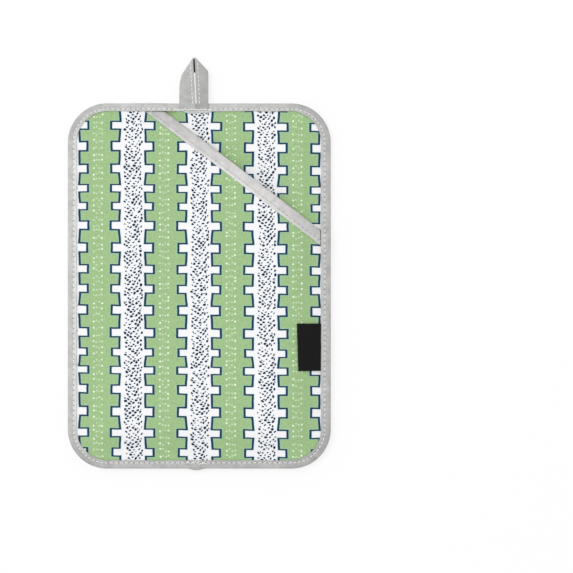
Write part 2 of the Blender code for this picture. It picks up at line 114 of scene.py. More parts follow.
# %% One function for colours and one for nodes
def colour(hex_value):
    """Linear colour of an sRGB hex value."""
    parts = [int(hex_value[place:place + 2], 16) / 255 for place in (1, 3, 5)]
    return (*[part / 12.92 if part <= 0.04045 else ((part + 0.055) / 1.055) ** 2.4 for part in parts], 1.0)


def feed(tree, node, feeds):
    """Fill sockets of a node with a value, a socket, or another node's first output."""
    for socket, value in feeds.items():
        if isinstance(value, bpy.types.Node):
            value = value.outputs[0]
        if isinstance(value, bpy.types.NodeSocket):
            tree.links.new(value, node.inputs[socket])
        else:
            node.inputs[socket].default_value = value


def add(tree, kind, *feeds, **settings):
    """Add one node. Its feeds fill the sockets in order, or a dict fills them by name or number."""
    kind, _, operation = kind.partition(".")
    made = tree.nodes.new("ShaderNode" + kind)
    for name, value in settings.items():
        setattr(made, name, value)
    if operation:
        made.operation = operation
    feed(tree, made, feeds[0] if feeds and isinstance(feeds[0], dict) else dict(enumerate(feeds)))
    return made


print("mid grey is", [round(part, 3) for part in colour("#808080")], "in linear light")

# %% [markdown]
# ## The table and the light
#
# The holder lies on a plain white table. The table glows a little for the camera, so that
# it reads as white paper, and still takes a soft shadow. A large soft lamp hangs almost
# overhead, a little to the upper left, and the sky fills the rest. Together they light an
# upward face to just under its own colour, so that white cotton stays below pure white. The
# left binding is paler than the lower one, as the light falls from the upper left, and that
# is painted light in the tape's finish. A second lamp stands below the table, which
# lets its light through to the underside, so that the back can be looked at from below.

# %% A white table that keeps a soft shadow
TABLE_GLOW = 0.75
SKY_STRENGTH = 0.70
LAMP_POWER = 33.0
LAMP_SIZE = 1.5
LAMP_PLACE, LOW_LAMP_PLACE = (-0.85, 0.6, 2.9), (-1.9, 1.5, -1.5)
WHITE = (1, 1, 1, 1)

table_mesh = bpy.data.meshes.new("table")
table_mesh.from_pydata([(-4, -4, 0), (4, -4, 0), (4, 4, 0), (-4, 4, 0)], [], [(0, 1, 2, 3)])
table = put("table", table_mesh)
table.location.z = -0.1 * MM
table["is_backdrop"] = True

paper = bpy.data.materials.new("white_paper")
paper.use_nodes = True
tree = paper.node_tree
tree.nodes.clear()
matt = add(tree, "BsdfDiffuse", {"Color": WHITE})
glow = add(tree, "Emission", {"Color": WHITE, "Strength": 1.0})
clear = add(tree, "BsdfTransparent")
ray = add(tree, "LightPath")
side = add(tree, "NewGeometry")
surface = add(tree, "MixShader", TABLE_GLOW, matt, glow)
unseen = add(tree, "Math.MAXIMUM", ray.outputs["Is Diffuse Ray"], side.outputs["Backfacing"])
through = add(tree, "Math.MAXIMUM", unseen, ray.outputs["Is Shadow Ray"])
paper_look = add(tree, "MixShader", through, surface, clear)
add(tree, "OutputMaterial", {"Surface": paper_look})
table_mesh.materials.append(paper)

# %% A soft sky and one large soft lamp
sky = bpy.data.worlds.new("studio")
bpy.context.scene.world = sky
sky.use_nodes = True
tree = sky.node_tree
tree.nodes.clear()
ray = add(tree, "LightPath")
seen = add(tree, "Math.MAXIMUM", ray.outputs["Is Camera Ray"], ray.outputs["Is Glossy Ray"])
strength = add(tree, "MapRange", seen, 0, 1, SKY_STRENGTH, 1.0)
dome = add(tree, "Background", {"Color": WHITE, "Strength": strength})
add(tree, "OutputWorld", {"Surface": dome})

lamp_data = bpy.data.lights.new("soft_box", "AREA")
lamp_data.energy = LAMP_POWER
lamp_data.size = LAMP_SIZE

# %% The same lamp again below the table, which lets its light through to the quilted back
for name, location in (("soft_box", LAMP_PLACE), ("low_soft_box", LOW_LAMP_PLACE)):
    lamp = put(name, lamp_data)
    lamp.location = location
    lamp.rotation_euler = (-lamp.location).to_track_quat("-Z", "Y").to_euler()
    print(f"{name} {lamp.location.length:.2f} m from the holder")

# %% [markdown]
# ## One plan for every layer
#
# All layers share one outline and are heights above the table over it, so they can't cut
# through each other. These are the same sizes as in the plain solids. The helpers work on
# whole arrays of points at once, which keeps fine cloth quick to make.

# %% Sizes of the holder
HOLDER_WIDTH = 180 * MM
HOLDER_LENGTH = 250 * MM
CORNER_RADIUS = 27 * MM
SEATING_GAP = 0.3 * MM
QUILT_HALF_WIDTH = 24.8 * MM
QUILT_HALF_HEIGHT = 25.3 * MM
QUILT_CENTRE = (-6.8 * MM, 3.2 * MM)
QUILT_DEPTH = 3.2 * MM
PINCH_RUN = 9 * MM
COVER_THICKNESS = 0.5 * MM
WADDING_AT_SEAM = 0.8 * MM
WADDING_RISE = 4.0 * MM
CROWN_RUN = 22 * MM
PANEL_THICKNESS = 0.5 * MM
POCKET_THICKNESS = 1.1 * MM
POCKET_OPENING = 6.0 * MM
POCKET_RUN = 35 * MM
MOUTH_TAPE_WIDTH = 8.3 * MM
MOUTH_TAPE_THICKNESS = 0.6 * MM
BINDING_WIDTH = 5.8 * MM
BINDING_THICKNESS = 0.9 * MM
EDGE_TURN = 1.8 * MM
TUCK_INSET = 2.8 * MM
RAMP = 5.0 * MM
CLEAR = 0.5 * MM
COCKLE_RISE, COCKLE_SIZE, COCKLE_RUN = 0.28 * MM, 46 * MM, 14 * MM
MOUTH_LIFT = SEATING_GAP + MOUTH_TAPE_THICKNESS
HALF_X = HOLDER_WIDTH / 2
HALF_Y = HOLDER_LENGTH / 2
MOUTH_START = np.array([-30.8 * MM, HALF_Y])
MOUTH_END = np.array([HALF_X, 32.8 * MM])
MOUTH_ALONG = (MOUTH_END - MOUTH_START) / np.linalg.norm(MOUTH_END - MOUTH_START)
MOUTH_INTO = np.array([MOUTH_ALONG[1], -MOUTH_ALONG[0]])
LABEL_Y = -41.9 * MM
LABEL_WIDTH = 32.4 * MM
LABEL_SHOWING = 16.8 * MM
LABEL_SKEW = 0.9 * MM
LABEL_THICKNESS = 0.3 * MM
LABEL_LIFT = 2 * (SEATING_GAP + LABEL_THICKNESS)
mouth_slant = math.degrees(math.atan2(-MOUTH_ALONG[1], MOUTH_ALONG[0]))
print(f"mouth slants {mouth_slant:.1f} degrees down to the right")

# %% Where a point lies in the plan
def smooth(share):
    share = np.clip(share, 0.0, 1.0)
    return share * share * (3.0 - 2.0 * share)


def inside_edge(x, y):
    """How far a point lies inside the holder's edge."""
    beyond_x = np.abs(x) - (HALF_X - CORNER_RADIUS)
    beyond_y = np.abs(y) - (HALF_Y - CORNER_RADIUS)
    round_core = np.hypot(np.maximum(beyond_x, 0.0), np.maximum(beyond_y, 0.0))
    return CORNER_RADIUS - round_core - np.minimum(np.maximum(beyond_x, beyond_y), 0.0)


def inside_lip(x, y):
    """How far it lies inside the line where the edge binding's lip ends."""
    return inside_edge(x, y) - BINDING_WIDTH


def into_pocket(x, y):
    """How far it lies from the mouth's free edge, on the pocket's side."""
    return (x - MOUTH_START[0]) * MOUTH_INTO[0] + (y - MOUTH_START[1]) * MOUTH_INTO[1]


def wander(x, y, size, seed):
    """Soft unevenness from -1 to 1 with features of one size, the same on every run."""
    draw = np.random.default_rng(seed)
    total = 0.0
    angles, phases, scales = (draw.uniform(*span, 7) for span in ((0, math.pi), (0, 6.28), (0.7, 1.5)))
    for angle, phase, scale in zip(angles, phases, scales):
        total = total + np.sin((x * math.cos(angle) + y * math.sin(angle)) * 6.28 * scale / size + phase)
    return total / 3.6


# %% Height of each layer above the table
def quilt_lines(x, y):
    """Shares of a diamond from the two families of stitch lines, 0 on a line and 1 at mid."""
    across = (x - QUILT_CENTRE[0]) / QUILT_HALF_WIDTH
    along = (y - QUILT_CENTRE[1]) / QUILT_HALF_HEIGHT
    shares = [((across + lean * along + 1) / 2) % 1.0 for lean in (1, -1)]
    return [np.minimum(share, 1 - share) * 2 for share in shares]


def cockle(x, y):
    """The padded front is never quite level. All that lies on it follows."""
    return COCKLE_RISE * wander(x, y, COCKLE_SIZE, 3) * smooth(inside_lip(x, y) / COCKLE_RUN)


def wadding_top(x, y):
    at_seam = QUILT_DEPTH + COVER_THICKNESS + SEATING_GAP + WADDING_AT_SEAM
    return at_seam + WADDING_RISE * smooth(inside_lip(x, y) / CROWN_RUN) + cockle(x, y)


def front_top(x, y):
    return wadding_top(x, y) + SEATING_GAP + PANEL_THICKNESS


def tape_band(x, y):
    """1 where the mouth's tape lies, easing to 0 on either side."""
    depth = into_pocket(x, y)
    return smooth(1 + (depth + CLEAR) / RAMP) * smooth(1 - (depth - MOUTH_TAPE_WIDTH - CLEAR) / RAMP)


def pocket_under(x, y):
    room = (POCKET_OPENING - SEATING_GAP) * smooth(inside_lip(x, y) / POCKET_RUN)
    return front_top(x, y) + SEATING_GAP + room + MOUTH_LIFT * tape_band(x, y)


def pocket_top(x, y):
    return pocket_under(x, y) + POCKET_THICKNESS


def binding_ceiling(x, y):
    """Inner face of the binding's upper wall, clear of whatever is caught in the seam."""
    pocket = (SEATING_GAP + POCKET_THICKNESS) * smooth(1 + (into_pocket(x, y) + CLEAR) / RAMP)
    tape = 2 * MOUTH_LIFT * tape_band(x, y)
    from_label = np.abs(y - LABEL_Y) - LABEL_WIDTH / 2 - CLEAR
    label = LABEL_LIFT * smooth(1 - from_label / RAMP) * (x > 0)
    layers = QUILT_DEPTH + COVER_THICKNESS + WADDING_AT_SEAM + PANEL_THICKNESS + 3 * SEATING_GAP
    return layers + pocket + tape + label


for name, top in (("front cloth", front_top), ("pocket", pocket_top)):
    print(f"{name} {top(0, 0) / MM:.1f} mm above the table in the middle")

# %% [markdown]
# ## Making cloth
#
# A layer is cut from a square net over the outline, with its rim pulled onto the cutting
# line. A tape is a grid: rows along it and points round its folded section, with its own
# flat coordinates in millimetres, so that its weave and its stitch holes follow it round
# the corners. Both are plain grids of quads, which bend smoothly.

# %% Turn points and faces into a piece on the holder
def piece_of(name, points, faces, material, slot, *nodes):
    """A piece that rides on the holder, and hides the plain nodes that it stands for. Its slot is not used.
    """
    mesh = bpy.data.meshes.new(name)
    mesh.from_pydata(np.asarray(points).tolist(), [], faces if isinstance(faces, list) else faces.tolist())
    mesh.materials.append(material)
    piece = put(name, mesh)
    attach(piece, "root")
    if nodes:
        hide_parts(*nodes)
    return piece


def thicken(piece, thickness, offset):
    """Give a piece that is drawn as one face its thickness."""
    thick = piece.modifiers.new("thickness", "SOLIDIFY")
    thick.thickness, thick.offset = thickness, offset
    return thick


def round_off(piece):
    skin = piece.modifiers.new("rounding", "SUBSURF")
    skin.levels = skin.render_levels = 1


def settle(piece, close=False):
    """Make what the modifiers show the piece's own mesh, with its faces pointing out."""
    shown = piece.evaluated_get(bpy.context.evaluated_depsgraph_get())
    mesh = bpy.data.meshes.new_from_object(shown)
    piece.modifiers.clear()
    piece.data = mesh
    skin = bmesh.new()
    skin.from_mesh(mesh)
    if close:
        bmesh.ops.holes_fill(skin, edges=[edge for edge in skin.edges if edge.is_boundary], sides=0)
    bmesh.ops.recalc_face_normals(skin, faces=skin.faces)
    skin.to_mesh(mesh)
    skin.free()
    mesh.shade_smooth()
    mesh.set_sharp_from_angle(angle=math.radians(60))
    print(f"{piece.name}: {sum(len(face.vertices) - 2 for face in mesh.polygons)} triangles")
    return piece


# %% Cut a layer from a square net
def plan_of(inset, spacing, mouth_inset=None):
    """Points and quads of a net that fills the outline, less an inset, and may stop at the mouth."""
    columns = round((HOLDER_WIDTH - 2 * inset) / spacing)
    rows = round((HOLDER_LENGTH - 2 * inset) / spacing)
    net = np.meshgrid(np.linspace(inset - HALF_X, HALF_X - inset, columns + 1),
                      np.linspace(inset - HALF_Y, HALF_Y - inset, rows + 1))
    return trimmed(*net, inset, spacing, mouth_inset)


def quilted_plan(inset, steps):
    """The same on the bias, so that its threads run exactly along the stitch lines."""
    reach = 7 * steps
    first, second = np.meshgrid(np.arange(-reach, reach + 1), np.arange(-reach, reach + 1))
    x = QUILT_CENTRE[0] + QUILT_HALF_WIDTH * (first + second + steps) / steps
    y = QUILT_CENTRE[1] + QUILT_HALF_HEIGHT * (first - second) / steps
    return trimmed(x, y, inset, QUILT_HALF_WIDTH / steps)


def trimmed(x, y, inset, spacing, mouth_inset=None):
    """Keep the cells inside the outline, and pull the rim of what is left onto it."""
    def room(x, y):
        free = inside_edge(x, y) - inset
        return free if mouth_inset is None else np.minimum(free, into_pocket(x, y) - mouth_inset)

    near = room(x, y) > -0.7 * spacing
    inner = near[:-1, :-1] & near[:-1, 1:] & near[1:, 1:] & near[1:, :-1]
    index = np.arange(x.size).reshape(x.shape)
    faces = np.stack([index[:-1, :-1], index[:-1, 1:], index[1:, 1:], index[1:, :-1]], axis=-1)[inner]
    used = np.unique(faces)
    x, y = x.ravel()[used], y.ravel()[used]
    faces = np.searchsorted(used, faces)
    step = 0.01 * MM
    for _ in range(4):
        over = np.minimum(room(x, y), 0.0)
        slope_x = (room(x + step, y) - room(x - step, y)) / (2 * step)
        slope_y = (room(x, y + step) - room(x, y - step)) / (2 * step)
        x, y = x - over * slope_x, y - over * slope_y
    return x, y, faces


# %% Skin a grid of rows and keep its flat coordinates
def strip_of(name, rows, along, across, material, slot, *nodes, ring=False, tube=False):
    """Rows are points round a section. Along and across are the flat coordinates of its lines."""
    count, width = rows.shape[:2]
    run, turn = np.arange(count if ring else count - 1), np.arange(width if tube else width - 1)
    first, second = np.meshgrid(run, turn, indexing="ij")
    next_row, next_point = (first + 1) % count, (second + 1) % width
    faces = np.stack([first * width + second, first * width + next_point,
                      next_row * width + next_point, next_row * width + second], axis=-1).reshape(-1, 4)
    piece = piece_of(name, rows.reshape(-1, 3), faces, material, slot, *nodes)
    flat = piece.data.uv_layers.new(name="flat")
    u = np.stack([along[first], along[first], along[first + 1], along[first + 1]], axis=-1)
    v = np.stack([across[second], across[second + 1], across[second + 1], across[second]], axis=-1)
    flat.data.foreach_set("uv", np.stack([u, v], axis=-1).reshape(-1).astype(np.float32))
    return piece


# %% [markdown]
# ## Stitches
#
# Thread is what tells a sewn thing from a moulded one. Each visible stitch is a short
# length of twisted thread that comes up through one needle hole, lies over the cloth and
# dives into the next, so it is a thin rounded body, highest in the middle, with both ends
# sunk in. All stitches of a seam are one mesh. Small random turns keep the row from
# looking printed.

# %% Sew a row of stitches
SEAM_SEED = 11
STITCH_RINGS, STITCH_SIDES = 7, 6
UNEVEN, UNSTEADY = (0.92, 1.08), 0.06      # in length and in way


def sew(name, points, ways, length, material, slot, thickness, side=1, seed=SEAM_SEED):
    """One stitch at each point, lying along its way in the plan, on the upper or the lower side."""
    rings, sides, count = STITCH_RINGS, STITCH_SIDES, len(points)
    points = np.asarray(points, float)
    ways = np.column_stack([ways, np.zeros(count)])
    ups = np.tile([0.0, 0.0, side], (count, 1))
    draw = np.random.default_rng(seed)
    share = np.linspace(-1, 1, rings)
    turn = np.linspace(0, 2 * math.pi, sides, endpoint=False)
    reach = np.repeat(share, sides) / 2
    girth = np.repeat(np.sqrt(1 - 0.85 * share ** 4), sides) * thickness / 2
    lift = np.repeat(0.35 * (1 - share ** 2) - 0.75 * share ** 4, sides) * thickness
    lengths = length * draw.uniform(*UNEVEN, count)
    lean = draw.normal(0.0, UNSTEADY, count)
    ways = ways + np.cross(ups, ways) * lean[:, None]
    ways /= np.linalg.norm(ways, axis=1)[:, None]
    body = (points[:, None] + ways[:, None] * (reach[None, :, None] * lengths[:, None, None])
            + np.cross(ups, ways)[:, None] * (girth * np.tile(np.cos(turn), rings))[None, :, None]
            + ups[:, None] * (girth * np.tile(np.sin(turn), rings) + lift)[None, :, None])
    ring, corner = np.meshgrid(np.arange(rings - 1) * sides, np.arange(sides), indexing="ij")
    after = (corner + 1) % sides
    walls = np.stack([ring + corner, ring + after, ring + sides + after, ring + sides + corner], axis=-1)
    starts = np.arange(count) * rings * sides
    quads = (walls.reshape(1, -1, 4) + starts[:, None, None]).reshape(-1, 4)
    caps = [range(rings * sides - sides, rings * sides), range(sides)[::-1]]
    every = quads.tolist() + [[corner + start for corner in cap] for start in starts.tolist() for cap in caps]
    seam = piece_of(name, body.reshape(-1, 3), every, material, slot)
    seam.data.shade_smooth()
    print(f"{name}: {count} stitches")
    return seam


# %% [markdown]
# ## Printed cotton
#
# The front and the pocket are plain-weave cotton, screen printed with castellated stripes:
# white columns with square arms, edged in navy, on a soft green, with navy flecks down the
# white and pale dots down the green. Ink lies in the threads, so it is matt and a little
# uneven, and the weave shows through it. The print could be a picture wrapped on the cloth,
# but a rule made of nodes stays sharp at any distance and runs on unbroken from the front
# across the pocket, as it does on the real one where the pieces were matched.
#
# The rule: fold the cloth into columns 45.4 mm apart, then measure the distance to a column
# and to its arms. Below zero is white, about zero is the navy line, above it is green. Two
# slow waves make the arms' spacing uneven, as if drawn by hand. Flecks and dots sit one to a
# cell of a loose net, and chance turns, sizes and fades them. Last, the blue ink bleeds a
# little into the threads beside it, which leaves a pale blue rim round lines and flecks.

# %% Sizes of the print
COLUMN_PITCH = 45.4
COLUMN_SHIFT = 0.15
COLUMN_HALF = 8.8
COLUMN_LEAN = 1.2            # how much wider one end of a gap's side is than the other
GAP_TURNS, ARM_TURNS = (2.1, 0.7), (2.6, 1.1)      # angle from one gap or arm to the next, start
ARM_PITCH = 13.96
ARM_FIRST = 108.9
ARM_TILT = 0.010             # the arms lie a little lower towards the right
ARM_WAVES = ((8.0, 0.070, 3.44), (4.0, 0.067, 0.69))     # arms to a wave, sway, start
ARM_REACH = 14.5
REACH_SWAY = 0.45
ARM_HALF = 2.85
LINE_WIDTH = 1.58
LINE_SOFT = 0.12             # the ink's edge is not sharper than a thread
LEVEL_LINE = 0.68            # the level lines are this much finer than the upright ones
HAND_PITCH, HAND_SWAY = 0.22, 0.4                  # slow shake of the drawing
FLECK_CELL = 2.35
FLECK_LOOSE = 0.56           # how far flecks leave the middle of their cells
FLECK_NET_TURN = 0.62        # turn of their net, so that they don't stand in rows
FLECK_BAND = 6.0
FLECK_SHIFT = 0.7            # the flecks lie a little right of the middle
FLECK_FAN = -0.16            # they fan out to both sides of the column
FLECK_TURN, FLECK_HALF, FLECK_ROUND = (-1.0, 0.3), (0.22, 0.52), (0.46, 0.77)
DOT_CELL = (1.9, 4.4)
DOT_SEAT = ((0.42, 0.58), (0.24, 0.76))            # where in its cell a dot may sit
DOT_RIM, DOT_CORE = 0.8, 0.5
DOT_FAINT = 0.45             # the middle rows are this faint
THREAD_PITCH = 1.3           # real threads lie 0.45 mm apart, too fine for the picture
PRINT_WHITE, PRINT_GREEN, PRINT_DOT = "#FAF9FB", "#A2C38C", "#F0FDE4"
PRINT_NAVY, PRINT_FLECK, PRINT_BLEED = "#123A54", "#0C2440", "#8CDCF8"
BLEED_REACH = 1.1
LINE_BLEED, FLECK_BLEED = 0.22, 0.12


# %% Steps that several finishes share
def new_finish(name, numbers):
    """A material with its tree and shader. The numbers are the same all over the surface."""
    material = bpy.data.materials.new(name)
    material.use_nodes = True
    tree = material.node_tree
    shader = tree.nodes["Principled BSDF"]
    feed(tree, shader, numbers)
    return material, tree, shader


def finish_off(tree, shader, cloth, height, strength, rise):
    """Give the shader its colour and a fine relief."""
    relief = add(tree, "Bump", {"Height": height, "Strength": strength, "Distance": rise})
    feed(tree, shader, {"Base Color": cloth.outputs[2], "Normal": relief})


def dyed(tree, base, level):
    """A colour made darker or paler from place to place."""
    return add(tree, "Mix", {0: 1.0, 6: base, 7: level}, data_type="RGBA", blend_type="MULTIPLY")


def laid_over(tree, share, under, hex_value):
    """An ink over what is printed already, as far as its share goes."""
    return add(tree, "Mix", {0: share, 6: under, 7: colour(hex_value)}, data_type="RGBA")


def places_in_mm(tree):
    """The place on the holder in mm, so that a pattern's scale reads as a real size."""
    place = add(tree, "TexCoord")
    return add(tree, "VectorMath.SCALE", {0: place.outputs["Object"], "Scale": 1 / MM})


def chain(tree, value, *steps):
    """Nodes in a row, each fed by the one before. A step is a kind and its other feeds."""
    for kind, *feeds in steps:
        value = add(tree, kind, value, *feeds)
    return value


def wave(tree, value, rate, start=0.0):
    """A sine of a value, for ribs and for slow sways."""
    return chain(tree, value, ("Math.MULTIPLY_ADD", rate, start), ("Math.SINE",))


def from_middle(tree, value, pitch):
    """How far a value lies from the middle of its stretch, in a row of equal stretches."""
    return chain(tree, value, ("Math.FLOORED_MODULO", pitch), ("Math.SUBTRACT", pitch / 2))


# %% Lay the stripes, flecks and dots
def stripes(tree, in_mm):
    """Where the green and the navy lines are, and the place on the shaken drawing."""
    shake = add(tree, "TexNoise", {"Vector": in_mm, "Scale": HAND_PITCH, "Detail": 0.0})
    drawn = chain(tree, shake.outputs["Color"], ("VectorMath.SUBTRACT", (0.5, 0.5, 0.5)),
                  ("VectorMath.MULTIPLY_ADD", (HAND_SWAY,) * 3, in_mm))
    split = add(tree, "SeparateXYZ", drawn)
    x, y = split.outputs[:2]

    # Distance from the middle of the nearest column
    shifted = add(tree, "Math.ADD", x, COLUMN_PITCH / 2 - COLUMN_SHIFT)
    out = add(tree, "Math.ABSOLUTE", from_middle(tree, shifted, COLUMN_PITCH))

    # Count of arms from the top, swayed by two slow waves
    level_y = add(tree, "Math.MULTIPLY_ADD", x, ARM_TILT, y)
    even = chain(tree, ARM_FIRST, ("Math.SUBTRACT", level_y), ("Math.DIVIDE", ARM_PITCH))
    arms = even
    for arms_to_wave, sway, start in ARM_WAVES:
        arms = add(tree, "Math.MULTIPLY_ADD", wave(tree, even, 2 * math.pi / arms_to_wave, start), sway, arms)
    nearest = add(tree, "Math.ROUND", arms)
    from_height = chain(tree, arms, ("Math.SUBTRACT", nearest), ("Math.ABSOLUTE",),
                        ("Math.MULTIPLY", ARM_PITCH), ("Math.SUBTRACT", ARM_HALF),
                        ("Math.MULTIPLY", 1 / LEVEL_LINE))

    # Each gap between two arms leans its own way, and each arm has its own reach
    gap = add(tree, "Math.FLOOR", arms)
    mid_gap = chain(tree, arms, ("Math.SUBTRACT", gap), ("Math.SUBTRACT", 0.5))
    half_here = chain(tree, wave(tree, gap, *GAP_TURNS), ("Math.MULTIPLY", mid_gap),
                      ("Math.MULTIPLY_ADD", COLUMN_LEAN, COLUMN_HALF))
    reach_here = add(tree, "Math.MULTIPLY_ADD", wave(tree, nearest, *ARM_TURNS), REACH_SWAY, ARM_REACH)
    from_column = add(tree, "Math.SUBTRACT", out, half_here)
    from_shape = chain(tree, out, ("Math.SUBTRACT", reach_here), ("Math.MAXIMUM", from_height),
                       ("Math.MINIMUM", from_column))
    from_line = add(tree, "Math.ABSOLUTE", from_shape)
    thin, thick = LINE_WIDTH / 2 - LINE_SOFT, LINE_WIDTH / 2 + LINE_SOFT
    is_green = add(tree, "MapRange", from_shape, thin, thick)
    is_line = add(tree, "MapRange", from_line, thick, thin)
    return x, y, is_green, is_line, from_line


def flecks(tree, in_mm):
    """Navy flecks: one short dash to each cell of a loose net, each turned and sized by chance."""
    place = add(tree, "VectorMath.SCALE", {0: in_mm, "Scale": 1 / FLECK_CELL})

    def turned(vector, angle):
        return add(tree, "VectorRotate", {"Vector": vector, "Angle": angle}, rotation_type="Z_AXIS")

    cells = {"Vector": turned(place, FLECK_NET_TURN), "Scale": 1.0, "Randomness": FLECK_LOOSE}
    cell = add(tree, "TexVoronoi", cells, voronoi_dimensions="2D")
    rim = add(tree, "TexVoronoi", cells, voronoi_dimensions="2D", feature="DISTANCE_TO_EDGE")
    apart = add(tree, "MapRange", rim.outputs["Distance"], 0.05, 0.11)
    home = turned(cell.outputs["Position"], -FLECK_NET_TURN)
    at = add(tree, "SeparateXYZ", home)
    x = add(tree, "Math.MULTIPLY_ADD", at.outputs[0], FLECK_CELL, COLUMN_PITCH / 2 - FLECK_SHIFT)
    mid = from_middle(tree, x, COLUMN_PITCH)
    near = chain(tree, mid, ("Math.ABSOLUTE",), ("Math.LESS_THAN", FLECK_BAND))
    chance = add(tree, "SeparateColor", cell.outputs["Color"])
    spans = zip(chance.outputs, (FLECK_TURN, FLECK_HALF, FLECK_ROUND))
    loose, long_half, roundness = (add(tree, "MapRange", luck, 0, 1, *span) for luck, span in spans)
    turn = add(tree, "Math.MULTIPLY_ADD", mid, FLECK_FAN, loose)
    size = add(tree, "CombineXYZ", long_half, add(tree, "Math.MULTIPLY", long_half, roundness), 1.0)
    offset = add(tree, "VectorMath.SUBTRACT", place, home)
    far = chain(tree, turned(offset, turn), ("VectorMath.DIVIDE", size), ("VectorMath.MULTIPLY", (1, 1, 0)),
                ("VectorMath.LENGTH",)).outputs["Value"]
    is_fleck = chain(tree, far, ("MapRange", 1.15, 0.95), ("Math.MULTIPLY", apart), ("Math.MULTIPLY", near))
    return is_fleck, chain(tree, far, ("MapRange", 2.6, 1.2, 0.0, FLECK_BLEED), ("Math.MULTIPLY", near))


def dots(tree, x, y):
    """Pale dots: uneven rows of round dots down each green stripe, the middle rows faint."""
    across = add(tree, "Math.MULTIPLY_ADD", from_middle(tree, x, COLUMN_PITCH), 1 / DOT_CELL[0], 0.5)
    down = add(tree, "Math.DIVIDE", y, DOT_CELL[1])
    stripe = add(tree, "Math.DIVIDE", x, COLUMN_PITCH)
    net = add(tree, "CombineXYZ", across, down, stripe)
    cell = add(tree, "VectorMath.FLOOR", net)
    chance = add(tree, "TexWhiteNoise", {"Vector": cell}, noise_dimensions="3D")
    luck = add(tree, "SeparateColor", chance.outputs["Color"])
    seat = add(tree, "CombineXYZ", *[add(tree, "MapRange", part, 0, 1, *span)
                                     for part, span in zip(luck.outputs, DOT_SEAT)])
    far = chain(tree, net, ("VectorMath.SUBTRACT", cell), ("VectorMath.SUBTRACT", seat),
                ("VectorMath.MULTIPLY", (*DOT_CELL, 0)), ("VectorMath.LENGTH",))
    column = add(tree, "SeparateXYZ", cell).outputs[0]
    near = add(tree, "Math.COMPARE", column, -0.5, 1.75)
    top = chain(tree, column, ("Math.COMPARE", -0.5, 0.75), ("MapRange", 0, 1, 1.0, DOT_FAINT))
    strong = add(tree, "MapRange", luck.outputs[2], 0.0, 0.6, 0.4, 1.0)
    return chain(tree, far.outputs["Value"], ("MapRange", DOT_RIM, DOT_CORE), ("Math.MULTIPLY", near),
                 ("Math.MULTIPLY", top), ("Math.MULTIPLY", strong))


def printed_cotton():
    """Plain-weave cotton with a matt printed face."""
    material, tree, shader = new_finish("printed_plain_weave_cotton", {
        "Roughness": 0.85, "IOR": 1.5, "Specular IOR Level": 0.25, "Sheen Weight": 0.04})
    in_mm = places_in_mm(tree)
    x, y, is_green, is_line, from_line = stripes(tree, in_mm)
    is_fleck, by_fleck = flecks(tree, in_mm)
    is_dot = dots(tree, x, y)

    # Ink in the threads: a little lighter and darker from place to place
    ink = add(tree, "TexNoise", {"Vector": in_mm, "Scale": 1.3, "Detail": 3.0, "Roughness": 0.7})
    ink_level = add(tree, "MapRange", ink, 0.3, 0.7, 0.80, 1.20)
    green = laid_over(tree, is_dot, colour(PRINT_GREEN), PRINT_DOT)
    inked = dyed(tree, green.outputs[2], ink_level)
    both = add(tree, "Mix", {0: is_green, 6: colour(PRINT_WHITE), 7: inked.outputs[2]}, data_type="RGBA")

    # The blue ink has bled a little into the threads round each line and fleck
    by_line = add(tree, "MapRange", from_line, LINE_WIDTH / 2 + BLEED_REACH, LINE_WIDTH / 2, 0.0, LINE_BLEED)
    bleed = add(tree, "Math.MAXIMUM", by_line, by_fleck)
    bled = laid_over(tree, bleed, both.outputs[2], PRINT_BLEED)
    flecked = laid_over(tree, is_fleck, bled.outputs[2], PRINT_FLECK)
    lined = laid_over(tree, is_line, flecked.outputs[2], PRINT_NAVY)

    # Plain weave: threads over and under each other in both directions
    weave_at = add(tree, "VectorMath.SCALE", {0: in_mm, "Scale": 2 * math.pi / THREAD_PITCH})
    threads = add(tree, "SeparateXYZ", weave_at)
    warp, weft = (add(tree, "Math.SINE", threads.outputs[axis]) for axis in (0, 1))
    crossing = add(tree, "Math.MULTIPLY", warp, weft)
    finish_off(tree, shader, lined, crossing, 0.25, 0.12 * MM)
    return material


printed = printed_cotton()
print("printed cotton:", len(printed.node_tree.nodes), "nodes")

# %% [markdown]
# ## Tape, thread, lining, batting, heat cloth and label
#
# The tapes are grey cotton twill: fine slanting ribs, matt, a little mottled where the
# steam of the iron and the washing have caught it. The hem outside the seam is paler, and
# each needle hole is a small dent, painted dark as the shade inside it. The thread is spun
# polyester, pale on the edge and the loop, near the tape's own grey on the mouth, and darker
# on the back. The heat cloth is cotton with a thin aluminium coat, so it has a satin shine and
# faint streaks along the warp. The label is a black woven ribbon with fine ribs across.

# %% Grey twill tape
RIB_PITCH = 1.1              # real twill ribs are 0.6 mm apart
HEM_PALER = 1.10
# Painted light: the edge tape is painted paler towards the upper left, where the lamp stands.
PAINTED_LIGHT_WAY, PAINTED_LIGHT_LEVELS = (-0.7, 0.5, 0.0), (-60.0, 75.0, 0.93, 1.10)       # paler to the upper left
STRAIGHT_SIDES, CORNER_SHADE = (50, 80, 0), (150.0, 1150.0, 1.0, 0.85)   # darker round the corners
# Painted shadow: how dark the tape is painted where it goes in under the binding.
TUCK_SHADOW_LEVELS = (0.30, 0.45)   # how dark the tape is where it goes in at the right and at the top


